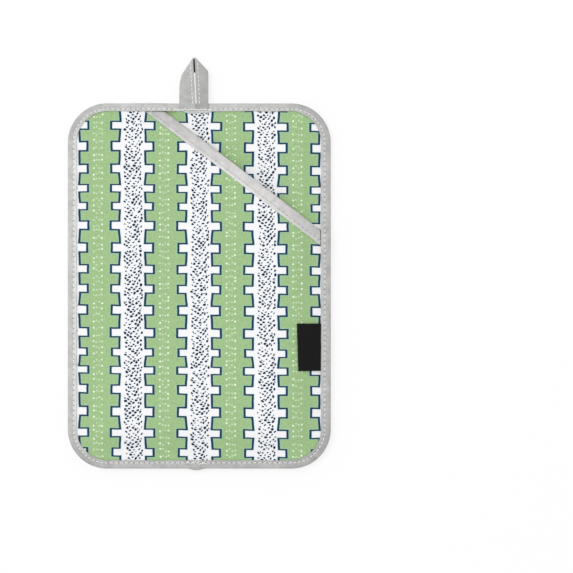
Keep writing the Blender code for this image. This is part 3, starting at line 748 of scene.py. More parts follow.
def twill_tape(name, grey, holes=None, left_hem=None, darker_along=None, tuck_shadow_at=None):
    """
    Cotton twill: slanting ribs, matt and mottled. All sizes are in mm.
    Holes are the pitch, the line and the level of the needle holes, painted dark as shade. The
    hem beside them is paler, on the left side by left_hem. The fifth argument is where along the
    tape it is palest, how far it stays so, where it is darkest, and to what level; on the loop
    that darkening is painted shade. The last argument is where it goes under another tape, past
    which it is painted dark as shadow.
    """
    material, tree, shader = new_finish(name, {
        "Roughness": 0.8, "IOR": 1.5, "Specular IOR Level": 0.3, "Sheen Weight": 0.08})
    split = add(tree, "SeparateXYZ", add(tree, "UVMap", uv_map="flat"))
    in_mm = places_in_mm(tree)
    plan = add(tree, "SeparateXYZ", in_mm)
    patches = add(tree, "TexNoise", {"Vector": in_mm, "Scale": 0.22, "Detail": 4.0, "Roughness": 0.6})
    shade = add(tree, "MapRange", patches, 0.3, 0.7, 0.86, 1.12)
    slanted = add(tree, "Math.ADD", split.outputs[0], split.outputs[1])
    rib = wave(tree, slanted, 2 * math.pi / RIB_PITCH)
    parts = [add(tree, "MapRange", rib, -1.0, 1.0, 0.96, 1.04)]
    # Darker away from one place along the tape. On the loop this is painted shade.
    if darker_along:
        palest, *darkening = darker_along
        parts.append(chain(tree, split.outputs[0], ("Math.SUBTRACT", palest), ("Math.ABSOLUTE",),
                           ("MapRange", *darkening[:2], 1.0, darkening[2])))
    # Painted shadow where the tape goes in under the binding's lip, past these x and y in mm
    if tuck_shadow_at:
        for place, start, dark in zip(plan.outputs, tuck_shadow_at, TUCK_SHADOW_LEVELS):
            parts.append(add(tree, "MapRange", place, start, start + 0.3, 1.0, dark))
    hem_level = HEM_PALER
    if left_hem:
        to_left = add(tree, "VectorMath.DOT_PRODUCT", in_mm, PAINTED_LIGHT_WAY)
        past = chain(tree, in_mm, ("VectorMath.ABSOLUTE",), ("VectorMath.SUBTRACT", STRAIGHT_SIDES),
                     ("VectorMath.MAXIMUM", (0, 0, 0)))
        corner = add(tree, "SeparateXYZ", past)
        # Painted light, paler towards the lamp at the upper left
        parts.append(add(tree, "MapRange", to_left.outputs["Value"], *PAINTED_LIGHT_LEVELS))
        parts.append(chain(tree, corner.outputs[0], ("Math.MULTIPLY", corner.outputs[1]),
                           ("MapRange", *CORNER_SHADE)))
        hem_left = add(tree, "MapRange", plan.outputs[0], -84.0, -74.0, left_hem, 1.0)
        hem_above = add(tree, "MapRange", plan.outputs[1], -118.0, -95.0, 0.98, HEM_PALER)
        hem_level = add(tree, "Math.MAXIMUM", hem_left, hem_above)
    if holes:
        pitch, line, hole_shade_level = holes
        parts.append(add(tree, "MapRange", split.outputs[1], line - 0.2, line + 0.3, hem_level, 1.0))
        # Painted shade: each needle hole is darkened as the shade inside it.
        step = add(tree, "Math.DIVIDE", split.outputs[0], pitch)
        close = add(tree, "Math.ROUND", step)
        gap = chain(tree, step, ("Math.SUBTRACT", close), ("Math.MULTIPLY", pitch))
        off_line = add(tree, "Math.SUBTRACT", split.outputs[1], line)
        from_hole = chain(tree, gap, ("CombineXYZ", off_line), ("VectorMath.LENGTH",))
        parts.append(add(tree, "MapRange", from_hole.outputs["Value"], 0.15, 0.7, hole_shade_level, 1.0))
    for part in parts:
        shade = add(tree, "Math.MULTIPLY", shade, part)
    finish_off(tree, shader, dyed(tree, colour(grey), shade), rib, 0.3, 0.12 * MM)
    return material


# %% Plain woven, spun and felted finishes
def spun_cloth(name, hex_value, grain, roughness, spread=0.08, rise=0.1 * MM, **numbers):
    """A matt textile whose colour and surface vary softly at the scale of its fibres, in mm."""
    material, tree, shader = new_finish(name, {"Roughness": roughness, **numbers})
    place = add(tree, "TexCoord").outputs["Object"]
    fibres = add(tree, "TexNoise", {"Vector": place, "Scale": 1 / (grain * MM), "Detail": 3.0})
    level = add(tree, "MapRange", fibres, 0.3, 0.7, 1 - spread, 1 + spread)
    finish_off(tree, shader, dyed(tree, colour(hex_value), level), fibres, 0.4, rise)
    return material


pale_thread, grey_thread, tape_thread = (
    spun_cloth(name, grey, 0.5, 0.55, **{"Sheen Weight": 0.1})
    for name, grey in (("spun_polyester_thread", "#F2F2F0"), ("spun_grey_thread", "#8E8E8E"),
                       ("spun_tape_grey_thread", "#CFCECE")))
lining = spun_cloth("plain_cotton_lining", "#E6E4DF", 0.9, 0.9)
batting = spun_cloth("needled_cotton_batting", "#E9E6DE", 3.0, 0.95, spread=0.05, rise=0.6 * MM)


# %% Aluminised heat cloth
def heat_cloth():
    """Cotton with a thin aluminium coat: satin, with faint streaks along the warp."""
    material, tree, shader = new_finish("aluminised_cotton", {"Metallic": 0.35, "IOR": 1.5})
    place = add(tree, "TexCoord")
    stretched = add(tree, "VectorMath.MULTIPLY", place.outputs["Object"], (900, 45, 45))
    streaks = add(tree, "TexNoise", {"Vector": stretched, "Scale": 1.0, "Detail": 3.0})
    level = add(tree, "MapRange", streaks, 0.3, 0.7, 0.97, 1.03)
    feed(tree, shader, {"Roughness": add(tree, "MapRange", streaks, 0.3, 0.7, 0.50, 0.42)})
    finish_off(tree, shader, dyed(tree, colour("#D8D8D9"), level), streaks, 0.15, 0.1 * MM)
    return material


silver = heat_cloth()


# %% Black woven label ribbon
RIBBON_PITCH = 0.9


def label_ribbon():
    """Woven satin ribbon: close ribs across it, black, with a faint sheen."""
    material, tree, shader = new_finish("black_woven_ribbon", {"Roughness": 0.8, "Specular IOR Level": 0.15})
    split = add(tree, "SeparateXYZ", add(tree, "UVMap", uv_map="flat"))
    rib = wave(tree, split.outputs[0], 2 * math.pi / RIBBON_PITCH)
    shade = add(tree, "MapRange", rib, -1.0, 1.0, 0.85, 1.15)
    finish_off(tree, shader, dyed(tree, colour("#131314"), shade), rib, 0.4, 0.1 * MM)
    return material


ribbon = label_ribbon()

# %% [markdown]
# ## The quilted silver back
#
# The heat cloth is sewn through the batting along slanting lines, which makes diamonds
# about 50 mm wide. Each diamond swells between its seams, and the seams pucker, because the
# cloth is a little longer than the seam that holds it. Shaping that by hand looks stiff, so
# the cloth is simulated. Its net lies on the bias, with threads exactly along the stitch
# lines. It starts as low pillows with small folds across the seams, is pinned along every
# stitch line and at the rim, is cut a few percent too large, and is blown out by a small
# pressure. Then it is pressed flat again where it would pass through the table.

# %% Blow the cloth out between its seams
CLOTH_SETTINGS = {"quality": 6, "mass": 0.12, "tension_stiffness": 12, "compression_stiffness": 12,
                  "shear_stiffness": 4, "bending_stiffness": 0.08, "vertex_group_mass": "sewn",
                  "use_pressure": True, "uniform_pressure_force": 5.0}
CUT_TOO_LARGE = 0.05
CLOTH_FRAMES = 20


def inflate(piece, held):
    """Simulate the cloth with the held points fixed, and return where its points end up."""
    group = piece.vertex_groups.new(name="sewn")
    group.add(np.flatnonzero(held).tolist(), 1.0, "REPLACE")
    cloth = piece.modifiers.new("cloth", "CLOTH")
    for name, value in CLOTH_SETTINGS.items():
        setattr(cloth.settings, name, value)
    cloth.settings.shrink_min = -CUT_TOO_LARGE
    cloth.settings.effector_weights.gravity = 0.0
    cloth.collision_settings.use_collision = False
    for frame_number in range(1, CLOTH_FRAMES + 1):
        bpy.context.scene.frame_set(frame_number)
    shown = piece.evaluated_get(bpy.context.evaluated_depsgraph_get())
    blown = np.empty(len(shown.data.vertices) * 3)
    shown.data.vertices.foreach_get("co", blown)
    piece.modifiers.clear()
    piece.vertex_groups.clear()
    bpy.context.scene.frame_set(1)
    return blown.reshape(-1, 3)


# %% The silver cloth
QUILT_STEPS = 18
ON_LINE = 0.2 * MM
STRETCH_LIMIT = 3.0 * MM
CROWN_FULLNESS = 0.6         # lower is flatter on top, with narrower valleys at the seams
CROWN_CLEAR = 0.9 * MM       # the crowns are pressed to the table afterwards
CROWN_PRESS = 0.5 * MM
UNEVEN_FILL = ((0.35 * MM, 70 * MM, 8), (0.2 * MM, 19 * MM, 9))      # rise, size and seed
INTO_BATTING = 0.4 * MM
PUCKER_PITCH = 7.0 * MM
PUCKER_START, PUCKER_REACH = 1.2 * MM, 4.5 * MM
PUCKER_DEPTH = 0.45 * MM
half_diamond = QUILT_HALF_WIDTH * QUILT_HALF_HEIGHT / math.hypot(QUILT_HALF_WIDTH, QUILT_HALF_HEIGHT)


def seam_puckers(x, y):
    """Small folds that cross each seam of the quilting and die away beside it."""
    across = (x - QUILT_CENTRE[0]) / QUILT_HALF_WIDTH
    along = (y - QUILT_CENTRE[1]) / QUILT_HALF_HEIGHT
    loose = 2.5 * wander(x, y, 45 * MM, 4)
    folds = 0.0
    for beside, run in zip(quilt_lines(x, y), (across - along, across + along)):
        ripple = np.sin(2 * np.pi * run * half_diamond / PUCKER_PITCH + loose)
        gap = beside * half_diamond
        folds = folds + ripple * (1 - np.exp(-gap / PUCKER_START)) * np.exp(-gap / PUCKER_REACH)
    return PUCKER_DEPTH * folds


def cover_start(x, y):
    """Low pillows, highest off the seams, flat where the binding pinches them."""
    first, second = quilt_lines(x, y)
    pillow = (np.sin(np.pi / 2 * first) * np.sin(np.pi / 2 * second)) ** CROWN_FULLNESS
    fill = QUILT_DEPTH - CROWN_CLEAR
    for rise, size, seed in UNEVEN_FILL:
        fill = fill + rise * wander(x, y, size, seed)
    return QUILT_DEPTH - (fill * pillow + seam_puckers(x, y)) * smooth(inside_lip(x, y) / PINCH_RUN)


x, y, faces = quilted_plan(EDGE_TURN, QUILT_STEPS)
points = np.stack([x, y, cover_start(x, y)], axis=-1)
back = piece_of("quilted_back", points, faces, silver, "silver_cloth", "back_cover")
line_gap = np.minimum(*quilt_lines(x, y)) * half_diamond
move = inflate(back, (line_gap < ON_LINE) | (inside_lip(x, y) < 0.0)) - points
reach = np.linalg.norm(move, axis=1)
move *= np.minimum(1.0, STRETCH_LIMIT / np.maximum(reach, 1e-9))[:, None]
print(f"cloth moved {reach.mean() / MM:.2f} mm on average and {reach.max() / MM:.2f} mm at most")
points = points + move
points[:, 2] = np.minimum(points[:, 2], cover_start(points[:, 0], points[:, 1]) + INTO_BATTING)
low = np.minimum(points[:, 2] - CROWN_PRESS, 0)
points[:, 2] = np.where(low < 0, CROWN_PRESS * np.exp(low / CROWN_PRESS), points[:, 2])
back.data.vertices.foreach_set("co", points.ravel())
round_off(back)
settle(back)

# %% Quilting thread along every stitch line
QUILT_STITCH = 3.0 * MM
QUILT_THREAD = (2.0 * MM, 0.7 * MM)      # length of a stitch and thickness
SUNK = 0.3 * MM


def quilting_rows():
    """Points and ways of the stitches on the outer face of the back."""
    places, ways = [], []
    lines = math.ceil((HOLDER_WIDTH / QUILT_HALF_WIDTH + HOLDER_LENGTH / QUILT_HALF_HEIGHT) / 4) + 1
    for lean in (1, -1):
        way = np.array([QUILT_HALF_WIDTH, -lean * QUILT_HALF_HEIGHT])
        way /= np.linalg.norm(way)
        for number in range(-lines, lines + 1):
            start = np.array([QUILT_CENTRE[0] + (2 * number - 1) * QUILT_HALF_WIDTH, QUILT_CENTRE[1]])
            for step in np.arange(-HOLDER_LENGTH, HOLDER_LENGTH, QUILT_STITCH):
                place = start + way * step
                if inside_lip(*place) > 0.5 * MM:
                    places.append((*place, QUILT_DEPTH - SUNK))
                    ways.append(way)
    return places, ways


quilting = sew("quilting_thread", *quilting_rows(), QUILT_THREAD[0], grey_thread, "silver_cloth",
               QUILT_THREAD[1], side=-1)

# %% [markdown]
# ## The batting
#
# Nothing of it shows, but it is what makes the holder thick: needled fibre, soft, with no
# sharp edge. It is one closed body between the quilted back and the domed front.

# %% Fill the space between back and front
def batting_under(x, y):
    """It fills the upper half of each diamond and stays clear of the cloth."""
    return QUILT_DEPTH + COVER_THICKNESS + SEATING_GAP - (QUILT_DEPTH - cover_start(x, y)) / 2


x, y, faces = plan_of(EDGE_TURN, 3 * MM)
points = np.stack([x, y, batting_under(x, y)], axis=-1)
fill = piece_of("batting", points, faces, batting, "wadding", "wadding")
skin = bmesh.new()
skin.from_mesh(fill.data)
raised = bmesh.ops.extrude_face_region(skin, geom=list(skin.faces))["geom"]
for vert in (item for item in raised if isinstance(item, bmesh.types.BMVert)):
    vert.co.z = wadding_top(vert.co.x, vert.co.y)
skin.to_mesh(fill.data)
skin.free()
settle(fill)

# %% [markdown]
# ## The printed front and the pocket
#
# Both are sheets of cotton with a real thickness. The front follows the dome of the batting.
# The pocket lies over it, a little open, and its lining is a second cloth on its underside,
# so it is made as one thicker sheet with the lining as the material of its inner face. Both
# pucker beside the binding, where the seam has drawn them in.

# %% Cloth with a thickness
CLOTH_NET = 2.2 * MM
DRAWN_IN, FOLDS_ROUND, DRAWN_SEED = 0.16 * MM, 97, 5


def cloth_top(top):
    """The height of a layer with the small folds that run in from its seam and die away."""
    def height(x, y):
        folds = np.sin(np.arctan2(y, x) * FOLDS_ROUND + 2 * wander(x, y, 60 * MM, DRAWN_SEED))
        lip = inside_lip(x, y)
        return top(x, y) + DRAWN_IN * folds * smooth(lip / (1.5 * MM)) * (1 - smooth(lip / (9 * MM)))
    return height


def sheet_of(name, top, thickness, inner, node, mouth_inset=None):
    """A printed layer under its top face, with another cloth on its inner face where it is lined."""
    x, y, faces = plan_of(EDGE_TURN, CLOTH_NET, mouth_inset)
    points = np.stack([x, y, cloth_top(top)(x, y)], axis=-1)
    piece = piece_of(name, points, faces, printed, "printed_cotton", node)
    thick = thicken(piece, thickness, -1.0)
    if inner:
        piece.data.materials.append(inner)
        thick.material_offset = 1
    return settle(piece)


front = sheet_of("front_cloth", front_top, PANEL_THICKNESS, None, "front_panel")

MOUTH_TURN = POCKET_THICKNESS / 2 + SEATING_GAP + MOUTH_TAPE_THICKNESS
pocket = sheet_of("pocket_cloth", pocket_top, POCKET_THICKNESS, lining, "pocket_panel", MOUTH_TURN)

# %% [markdown]
# ## The tape over the pocket's mouth
#
# One tape is folded over the cut edge of the pocket and sewn through with a single row near
# its lower edge. Its section is a long flat U, and the row of stitches presses a shallow
# groove into it. Its two ends go in under the edge binding. They lie in deep shadow there,
# too fine for the lamp to draw, so that shadow is painted into the tape where it tucks in.

# %% Fold the mouth tape
MOUTH_STITCH = 3.3 * MM
MOUTH_SEAM = 6.0 * MM
MOUTH_PUFF = 0.25 * MM       # how far the tape swells above its seam
SEAM_PRESS, SEAM_SPREAD = 0.28 * MM, 0.8 * MM
MOUTH_THREAD = (2.7 * MM, 0.5 * MM)
IN_CLOTH = 0.05 * MM
MOUTH_DARKER_TO_ENDS = (84, 15, 75, 0.78)
MOUTH_TUCK_SHADOW_AT = (82.5, 118.7)


def mouth_place(run, depth):
    """Plan place at a share of the tape's run and a depth from the mouth's free edge."""
    start = (-TUCK_INSET - MOUTH_INTO[1] * depth) / MOUTH_ALONG[1]
    end = (HALF_X - TUCK_INSET - MOUTH_START[0] - MOUTH_INTO[0] * depth) / MOUTH_ALONG[0]
    length = start + (end - start) * run
    return MOUTH_START + MOUTH_ALONG * length + MOUTH_INTO * depth


def pressed(depth, seam, run, stitch):
    """How deep a seam pulls the tape in at this depth, deepest at the needle holes."""
    pull = 0.6 + 0.4 * np.cos(2 * np.pi * run / stitch)
    return SEAM_PRESS * pull * np.exp(-((depth - seam) / SEAM_SPREAD) ** 2)


def mouth_section(run, length):
    """Points round the folded tape at a share of its run, and their flat coordinates across it."""
    lip = MOUTH_TAPE_WIDTH
    depths = np.array([lip, lip - 0.2 * MM, lip - 0.6 * MM, *np.linspace(lip - 1.2 * MM, MOUTH_TURN, 12)])
    body = np.array([0.35, 0.85, 1.0, *[1.0] * 12]) * MOUTH_TAPE_THICKNESS
    swell = MOUTH_PUFF * np.sin(np.pi * np.clip((MOUTH_SEAM - depths) / MOUTH_SEAM, 0, 1))
    section, across = [], []

    def lay(depth, level, rise, flat):
        place = mouth_place(run, depth)
        section.append((*place, level(*place) + rise))
        across.append(flat)

    for depth, thick, puffed in zip(depths, body, swell):
        rise = SEATING_GAP + thick + puffed - pressed(depth, MOUTH_SEAM, run * length, MOUTH_STITCH)
        lay(depth, pocket_top, rise, (lip - depth) / MM)
    middle = pocket_under(*mouth_place(run, MOUTH_TURN)) + POCKET_THICKNESS / 2
    for angle in np.radians([75, 50, 25, 0, -25, -50, -75]):
        lay(MOUTH_TURN * (1 - math.cos(angle)), lambda x, y: middle, MOUTH_TURN * math.sin(angle),
            across[-1] + MOUTH_TURN * math.radians(25) / MM)
    for depth, thick in zip(depths[::-1][::2], body[::-1][::2]):
        lay(depth, pocket_under, -SEATING_GAP - thick, across[-1] + 1.0)
    inner = np.linspace(lip - 0.3 * MM, MOUTH_TURN, 5)
    for level, rise, run_in in ((pocket_under, -0.6, inner), (pocket_top, 0.6, inner[::-1])):
        for depth in run_in:
            lay(depth, level, SEATING_GAP * rise, across[-1] + 1.0)
    return section, across


mouth_length = np.linalg.norm(mouth_place(1.0, 4 * MM) - mouth_place(0.0, 4 * MM))
stitches = round(mouth_length / MOUTH_STITCH)
mouth_steps = 4 * stitches
MOUTH_STITCH = mouth_length / stitches
sections = [mouth_section(step / mouth_steps, mouth_length) for step in range(mouth_steps + 1)]
rows = np.array([section for section, across in sections])
across = np.array([*sections[0][1], sections[0][1][-1] + 1.0])
along = np.linspace(0, mouth_length / MM, mouth_steps + 1)
mouth_twill = twill_tape("grey_twill_mouth_tape", "#D9D8D7", darker_along=MOUTH_DARKER_TO_ENDS, tuck_shadow_at=MOUTH_TUCK_SHADOW_AT,
                         holes=(MOUTH_STITCH / MM, (MOUTH_TAPE_WIDTH - MOUTH_SEAM) / MM, 0.6))
mouth_tape = strip_of("mouth_tape", rows, along, across, mouth_twill, "binding_tape", "pocket_binding",
                      tube=True)
settle(mouth_tape, close=True)

# %% Sew the mouth tape down
places = []
for share in (np.arange(stitches) + 0.5) / stitches:
    place = mouth_place(share, MOUTH_SEAM)
    if inside_lip(*place) > -1 * MM:
        places.append((*place, pocket_top(*place) + SEATING_GAP + MOUTH_TAPE_THICKNESS - IN_CLOTH))
mouth_seam = sew("mouth_stitches", places, [MOUTH_ALONG] * len(places), MOUTH_THREAD[0], tape_thread,
                 "binding_tape", MOUTH_THREAD[1])

# %% [markdown]
# ## The tape round the edge
#
# The same twill is folded over all the layers at once. It climbs where the pocket, the
# mouth tape and the label are caught under it, and its end laps over its start in the
# middle of the bottom edge, with a slanting fold and a fine crease beside it. A topstitch
# runs all the way round, 4 mm in from the edge, and draws it in at every needle hole. A few
# crossed stitches hold the lap. The lip lies a little further in at the sides and under the
# loop, where it was sewn wider. The tape is a section swept along the outline, with a whole
# number of stitches round it.

# %% Walk round the outline
ROUND = 2 * (HOLDER_WIDTH + HOLDER_LENGTH - 4 * CORNER_RADIUS) + 2 * math.pi * CORNER_RADIUS
LAP_X = -2.4 * MM
STITCHES_ROUND = 232
EDGE_STITCH = ROUND / STITCHES_ROUND


def edge_walk(run):
    """Point on the edge at a distance round it, anticlockwise from the lap, and the way in."""
    run = (run + LAP_X + HALF_X - CORNER_RADIUS) % ROUND
    place = np.array([CORNER_RADIUS - HALF_X, -HALF_Y])
    quarter = math.pi / 2 * CORNER_RADIUS
    for side_number in range(4):
        angle = math.pi / 2 * side_number
        way = np.array([math.cos(angle), math.sin(angle)])
        out = np.array([way[1], -way[0]])
        straight = (HOLDER_WIDTH, HOLDER_LENGTH)[side_number % 2] - 2 * CORNER_RADIUS
        if run <= straight:
            return place + way * run, -out
        run -= straight
        place = place + way * straight
        if run <= quarter:
            turn = run / CORNER_RADIUS
            outward = out * math.cos(turn) + way * math.sin(turn)
            return place - out * CORNER_RADIUS + outward * CORNER_RADIUS, -outward
        run -= quarter
        place = place + (way - out) * CORNER_RADIUS
    return place, -out


print(f"edge tape {ROUND / MM:.1f} mm round, a stitch every {EDGE_STITCH / MM:.2f} mm")

# %% Fold the edge tape
EDGE_SEAM = 4.0 * MM
LAP_LENGTH = 13 * MM
LAP_THICKNESS = 1.1 * MM
LAP_CREASE, CREASE_WIDTH = 0.45, 0.45 * MM         # depth as a share of the lap, and width
FLOOR = QUILT_DEPTH - SEATING_GAP
STITCH_DEPTHS = np.array([4.4, 4.0, 3.6, 3.1, 2.5]) * MM
TOP_BODY = np.array([0.30, 0.75, 0.98, 1.05, 1.0, 1.0, 1.0, 1.08, 1.1])      # shares from the lip out
INNER_DEPTHS = [4.0 * MM, 2.5 * MM]
LIP_SWAY = (0.12 * MM, 17 * MM, 21)                # reach, size and seed
EDGE_HEM_LINE = 1.9
EDGE_LEFT_HEM = 1.33


def lapped(run, depth):
    """Extra tape at the lap: a slanting fold on its left, crisp on top and soft at the edge."""
    along = (run + ROUND / 2) % ROUND - ROUND / 2 - 0.6 * depth
    soft = 1 - smooth(depth / (2.2 * MM))
    rise = smooth((along + LAP_LENGTH / 2) / (0.9 * MM + 5 * MM * soft))
    fall = smooth((LAP_LENGTH / 2 + 1.5 * MM - along) / (7 * MM))
    crease = LAP_CREASE * np.exp(-((along + LAP_LENGTH / 2 + 0.3 * MM) / CREASE_WIDTH) ** 2) * (1 - soft)
    return LAP_THICKNESS * (rise * fall - crease)


def lip_depth(edge, inward):
    """How far in the lip lies. It was sewn a little wider at the sides, and where the loop is caught."""
    left, right, top = max(inward[0], 0.0), max(-inward[0], 0.0), max(-inward[1], 0.0)
    at_loop = top * smooth((10.5 * MM - abs(edge[0] + 1.3 * MM)) / (4 * MM))
    return BINDING_WIDTH + (0.5 * left + 0.9 * right - 0.3 * top + 1.3 * at_loop) * MM


def edge_section(run):
    """Points round the folded tape at one place on its run, from the upper lip round and back inside."""
    edge, inward = edge_walk(run)
    reach, size, seed = LIP_SWAY
    lip = lip_depth(edge, inward) + reach * wander(run, 0.0, size, seed)
    depths = np.array([lip, lip - 0.15 * MM, lip - 0.5 * MM, (lip + EDGE_SEAM) / 2, *STITCH_DEPTHS])
    section = []

    def at(depth, height):
        section.append((*(edge + inward * depth), height))

    def ceiling(depth):
        return binding_ceiling(*(edge + inward * depth))

    def turn(centre, radius, side, angles):
        for angle in np.radians(angles):
            at(EDGE_TURN - radius * math.cos(angle), centre + side * radius * math.sin(angle))

    rises = BINDING_THICKNESS * TOP_BODY + lapped(run, depths) - pressed(depths, EDGE_SEAM, run, EDGE_STITCH)
    for depth, rise in zip(depths, rises):
        at(depth, ceiling(depth) + rise)
    outer, inner = EDGE_TURN + lapped(run, 0.0), EDGE_TURN - BINDING_THICKNESS
    high = ceiling(EDGE_TURN) + BINDING_THICKNESS - EDGE_TURN
    low = FLOOR - BINDING_THICKNESS + EDGE_TURN
    turn(high, outer, 1, [80, 60, 40, 20, 0])
    turn(low, outer, -1, [0, 20, 40, 60, 80])
    for depth, rise in zip(depths[::-1], rises[::-1]):
        at(depth, FLOOR - rise)
    inner_depths = [lip - 0.3 * MM, *INNER_DEPTHS]
    for depth in inner_depths:
        at(depth, FLOOR)
    turn(low, inner, -1, [60, 0])
    turn(high, inner, 1, [0, 60])
    for depth in inner_depths[::-1]:
        at(depth, ceiling(depth))
    return section


def measured(points):
    """Distance in mm along a row of points to each of them."""
    return np.concatenate([[0.0], np.cumsum(np.linalg.norm(np.diff(points, axis=0), axis=1) / MM)])


edge_steps = STITCHES_ROUND * 4
even_runs = ROUND / edge_steps * np.arange(edge_steps)
lap_runs = ROUND - LAP_LENGTH / 2 + np.arange(-1.2, 5.0, 0.25) * MM      # close rows, for its crease
even_runs = even_runs[(even_runs < lap_runs[0] - 0.1 * MM) | (even_runs > lap_runs[-1] + 0.1 * MM)]
runs = np.sort(np.concatenate([even_runs, lap_runs]))
rows = np.array([edge_section(run) for run in runs])
across = measured(np.concatenate([rows[40], rows[40][:1]]))
edge_twill = twill_tape("grey_twill_edge_tape", "#C0C0BF", left_hem=EDGE_LEFT_HEM,
                        holes=(EDGE_STITCH / MM, EDGE_HEM_LINE, 0.55))
edge_tape = strip_of("edge_tape", rows, np.append(runs, ROUND) / MM, across, edge_twill,
                     "binding_tape", "edge_binding", ring=True, tube=True)
settle(edge_tape)

# %% Topstitch both faces of the edge tape
def edge_stitches(side):
    """The row round the edge. On the front a few crossed stitches lie over it at the lap."""
    draw = np.random.default_rng(9)
    seats = [((number + 0.5) * EDGE_STITCH, 0.0, 0.0) for number in range(STITCHES_ROUND)]
    for run in np.linspace(-6.0, 7.0, 8 if side > 0 else 0):
        seats.append((run * MM, draw.uniform(-0.5, 0.5), draw.choice([-0.8, 0.8])))
    places, ways = [], []
    for run, shift, lean in seats:
        edge, inward = edge_walk(run)
        place = edge + inward * (EDGE_SEAM + shift * MM)
        level = binding_ceiling(*place) + BINDING_THICKNESS if side > 0 else FLOOR - BINDING_THICKNESS
        level += side * (lapped(run, EDGE_SEAM) - IN_CLOTH + 0.3 * MM * abs(lean))
        way = np.array([inward[1], -inward[0]]) + inward * lean
        places.append((*place, level))
        ways.append(way / np.linalg.norm(way))
    return places, ways


front_topstitch = sew("topstitch_front", *edge_stitches(1), 2.8 * MM, pale_thread, "binding_tape", 0.62 * MM)
back_topstitch = sew("topstitch_back", *edge_stitches(-1), 2.5 * MM, grey_thread, "binding_tape", 0.5 * MM,
                     side=-1, seed=SEAM_SEED + 1)

# %% [markdown]
# ## The hanging loop
#
# One tape goes up, is folded back twice across its corner so that its tip is a point, and
# comes down beside itself. Its feet are sewn on the front of the edge tape with a short
# bar of close stitches. A soft ridge slants over the right leg, and the slit between the
# legs is in deep shadow near the tip, which is painted there as dark cloth. It is one strip,
# given its thickness afterwards, and then smoothed once, which rounds its edges as pressed cloth is.

# %% Fold the loop's tape
LOOP_X = -3.7 * MM
LOOP_THICKNESS = 1.0 * MM
LOOP_HALF_WIDTH = 10.0 * MM
LOOP_HEIGHT = 32.6 * MM
LOOP_SLIT = 1.0 * MM
LOOP_SLIT_DRIFT = 1.8 * MM
LOOP_FOOT_GAP = 0.3 * MM
LOOP_SHOULDERS = {-1: np.array([-8.9, 19.0]) * MM, 1: np.array([9.9, 22.0]) * MM}
LOOP_OVERLAP = 4.8 * MM
LOOP_DROOP = 2.2 * MM
LOOP_PRESSED, FOOT_SHARE = 0.4 * MM, 0.35    # the feet are pressed flat by the bar of stitches
LOOP_TIP_GAP = 0.4 * MM
LOOP_TIP_BULGE = 2.6 * MM
# The slit is painted dark above this height, as the shadow between the folds.
LOOP_SLIT_DARK = 21.2 * MM   # the slit is dark above this height and open below it
LOOP_RIDGE = (np.array([4.6, 9.6]) * MM, np.array([8.2, 20.0]) * MM)
RIDGE_RISE, RIDGE_WIDTH, ROLLING = 0.55 * MM, 1.9 * MM, 0.22 * MM
LOOP_WIDTH = 9.4             # in mm, for the flat coordinates
loop_fold = (LOOP_THICKNESS + SEATING_GAP) / 2
loop_shares = np.array([0.0, 0.035, 0.12, 0.24, 0.38, 0.52, 0.66, 0.79, 0.88, 0.965, 1.0])


def loop_crease(side):
    """The folded edge from the leg's outer side to the slit, the way along it and out of it."""
    run = np.array([0.0, LOOP_HEIGHT]) - LOOP_SHOULDERS[side]
    run /= np.linalg.norm(run)
    out = np.array([-run[1], run[0]]) * -side
    start = LOOP_SHOULDERS[side] - out * (loop_fold + LOOP_THICKNESS / 2)
    start = start - run * (start[0] - LOOP_SHOULDERS[side][0]) / run[0]
    return start, start + run * (side * LOOP_SLIT / 2 - start[0]) / run[0], run, out


def loop_creases(x, y):
    """A soft slanting ridge on the right leg, and a little unevenness above the binding."""
    start, end = LOOP_RIDGE
    way = (end - start) / np.linalg.norm(end - start)
    aside = (x - start[0]) * way[1] - (y - start[1]) * way[0]
    ridge = RIDGE_RISE * math.exp(-(aside / RIDGE_WIDTH) ** 2)
    rolling = ROLLING * wander(x, y, 17 * MM, 31)
    return (ridge + rolling) * smooth(y / (9 * MM)) * smooth((LOOP_HEIGHT - 3 * MM - y) / (7 * MM))


def loop_height(x, y):
    """Middle of the tape's thickness: on the binding at its foot, drooping to the tip."""
    on_binding = binding_ceiling(LOOP_X + x, HALF_Y + min(y, -EDGE_TURN)) + BINDING_THICKNESS
    droop = LOOP_DROOP * smooth((y + EDGE_TURN) / LOOP_HEIGHT)
    pressed_foot = LOOP_PRESSED * smooth(-y / LOOP_OVERLAP)
    return on_binding + SEATING_GAP + LOOP_THICKNESS / 2 - droop - pressed_foot + loop_creases(x, y)


def loop_row(outer, inner, drop=0.0):
    """Points across the tape from its outer to its inner side."""
    spots = [outer + (inner - outer) * share for share in loop_shares]
    return [(LOOP_X + x, HALF_Y + y, loop_height(x, y) + drop) for x, y in spots]


def loop_foot(side):
    """Where a leg's inner side starts at its foot."""
    return np.array([LOOP_SLIT_DRIFT + side * LOOP_FOOT_GAP, -LOOP_OVERLAP])


def loop_leg(side):
    """One leg from its foot up to the crease, bent in to a soft shoulder, and round the fold."""
    start, end, run, out = loop_crease(side)
    foot_out = np.array([side * LOOP_HALF_WIDTH, -LOOP_OVERLAP])
    foot_in = loop_foot(side)
    rows = []
    for share in np.linspace(0, 1, 19)[:-1]:
        outer = foot_out + (start - foot_out) * np.array([share ** 7, share])
        rows.append(loop_row(outer, foot_in + (end - foot_in) * share))
    for angle in np.linspace(0, math.pi, 7):
        reach = out * loop_fold * math.sin(angle)
        shoulder_x = start[0] - side * 0.5 * LOOP_THICKNESS * math.sin(angle)
        tip_x = side * (LOOP_SLIT - LOOP_TIP_GAP * math.sin(angle)) / 2
        outer, inner = (place + reach + run * (x - place[0] - reach[0]) / run[0]
                        for place, x in ((start, shoulder_x), (end, tip_x)))
        rows.append(loop_row(outer, inner, -loop_fold * (1 - math.cos(angle))))
    return rows


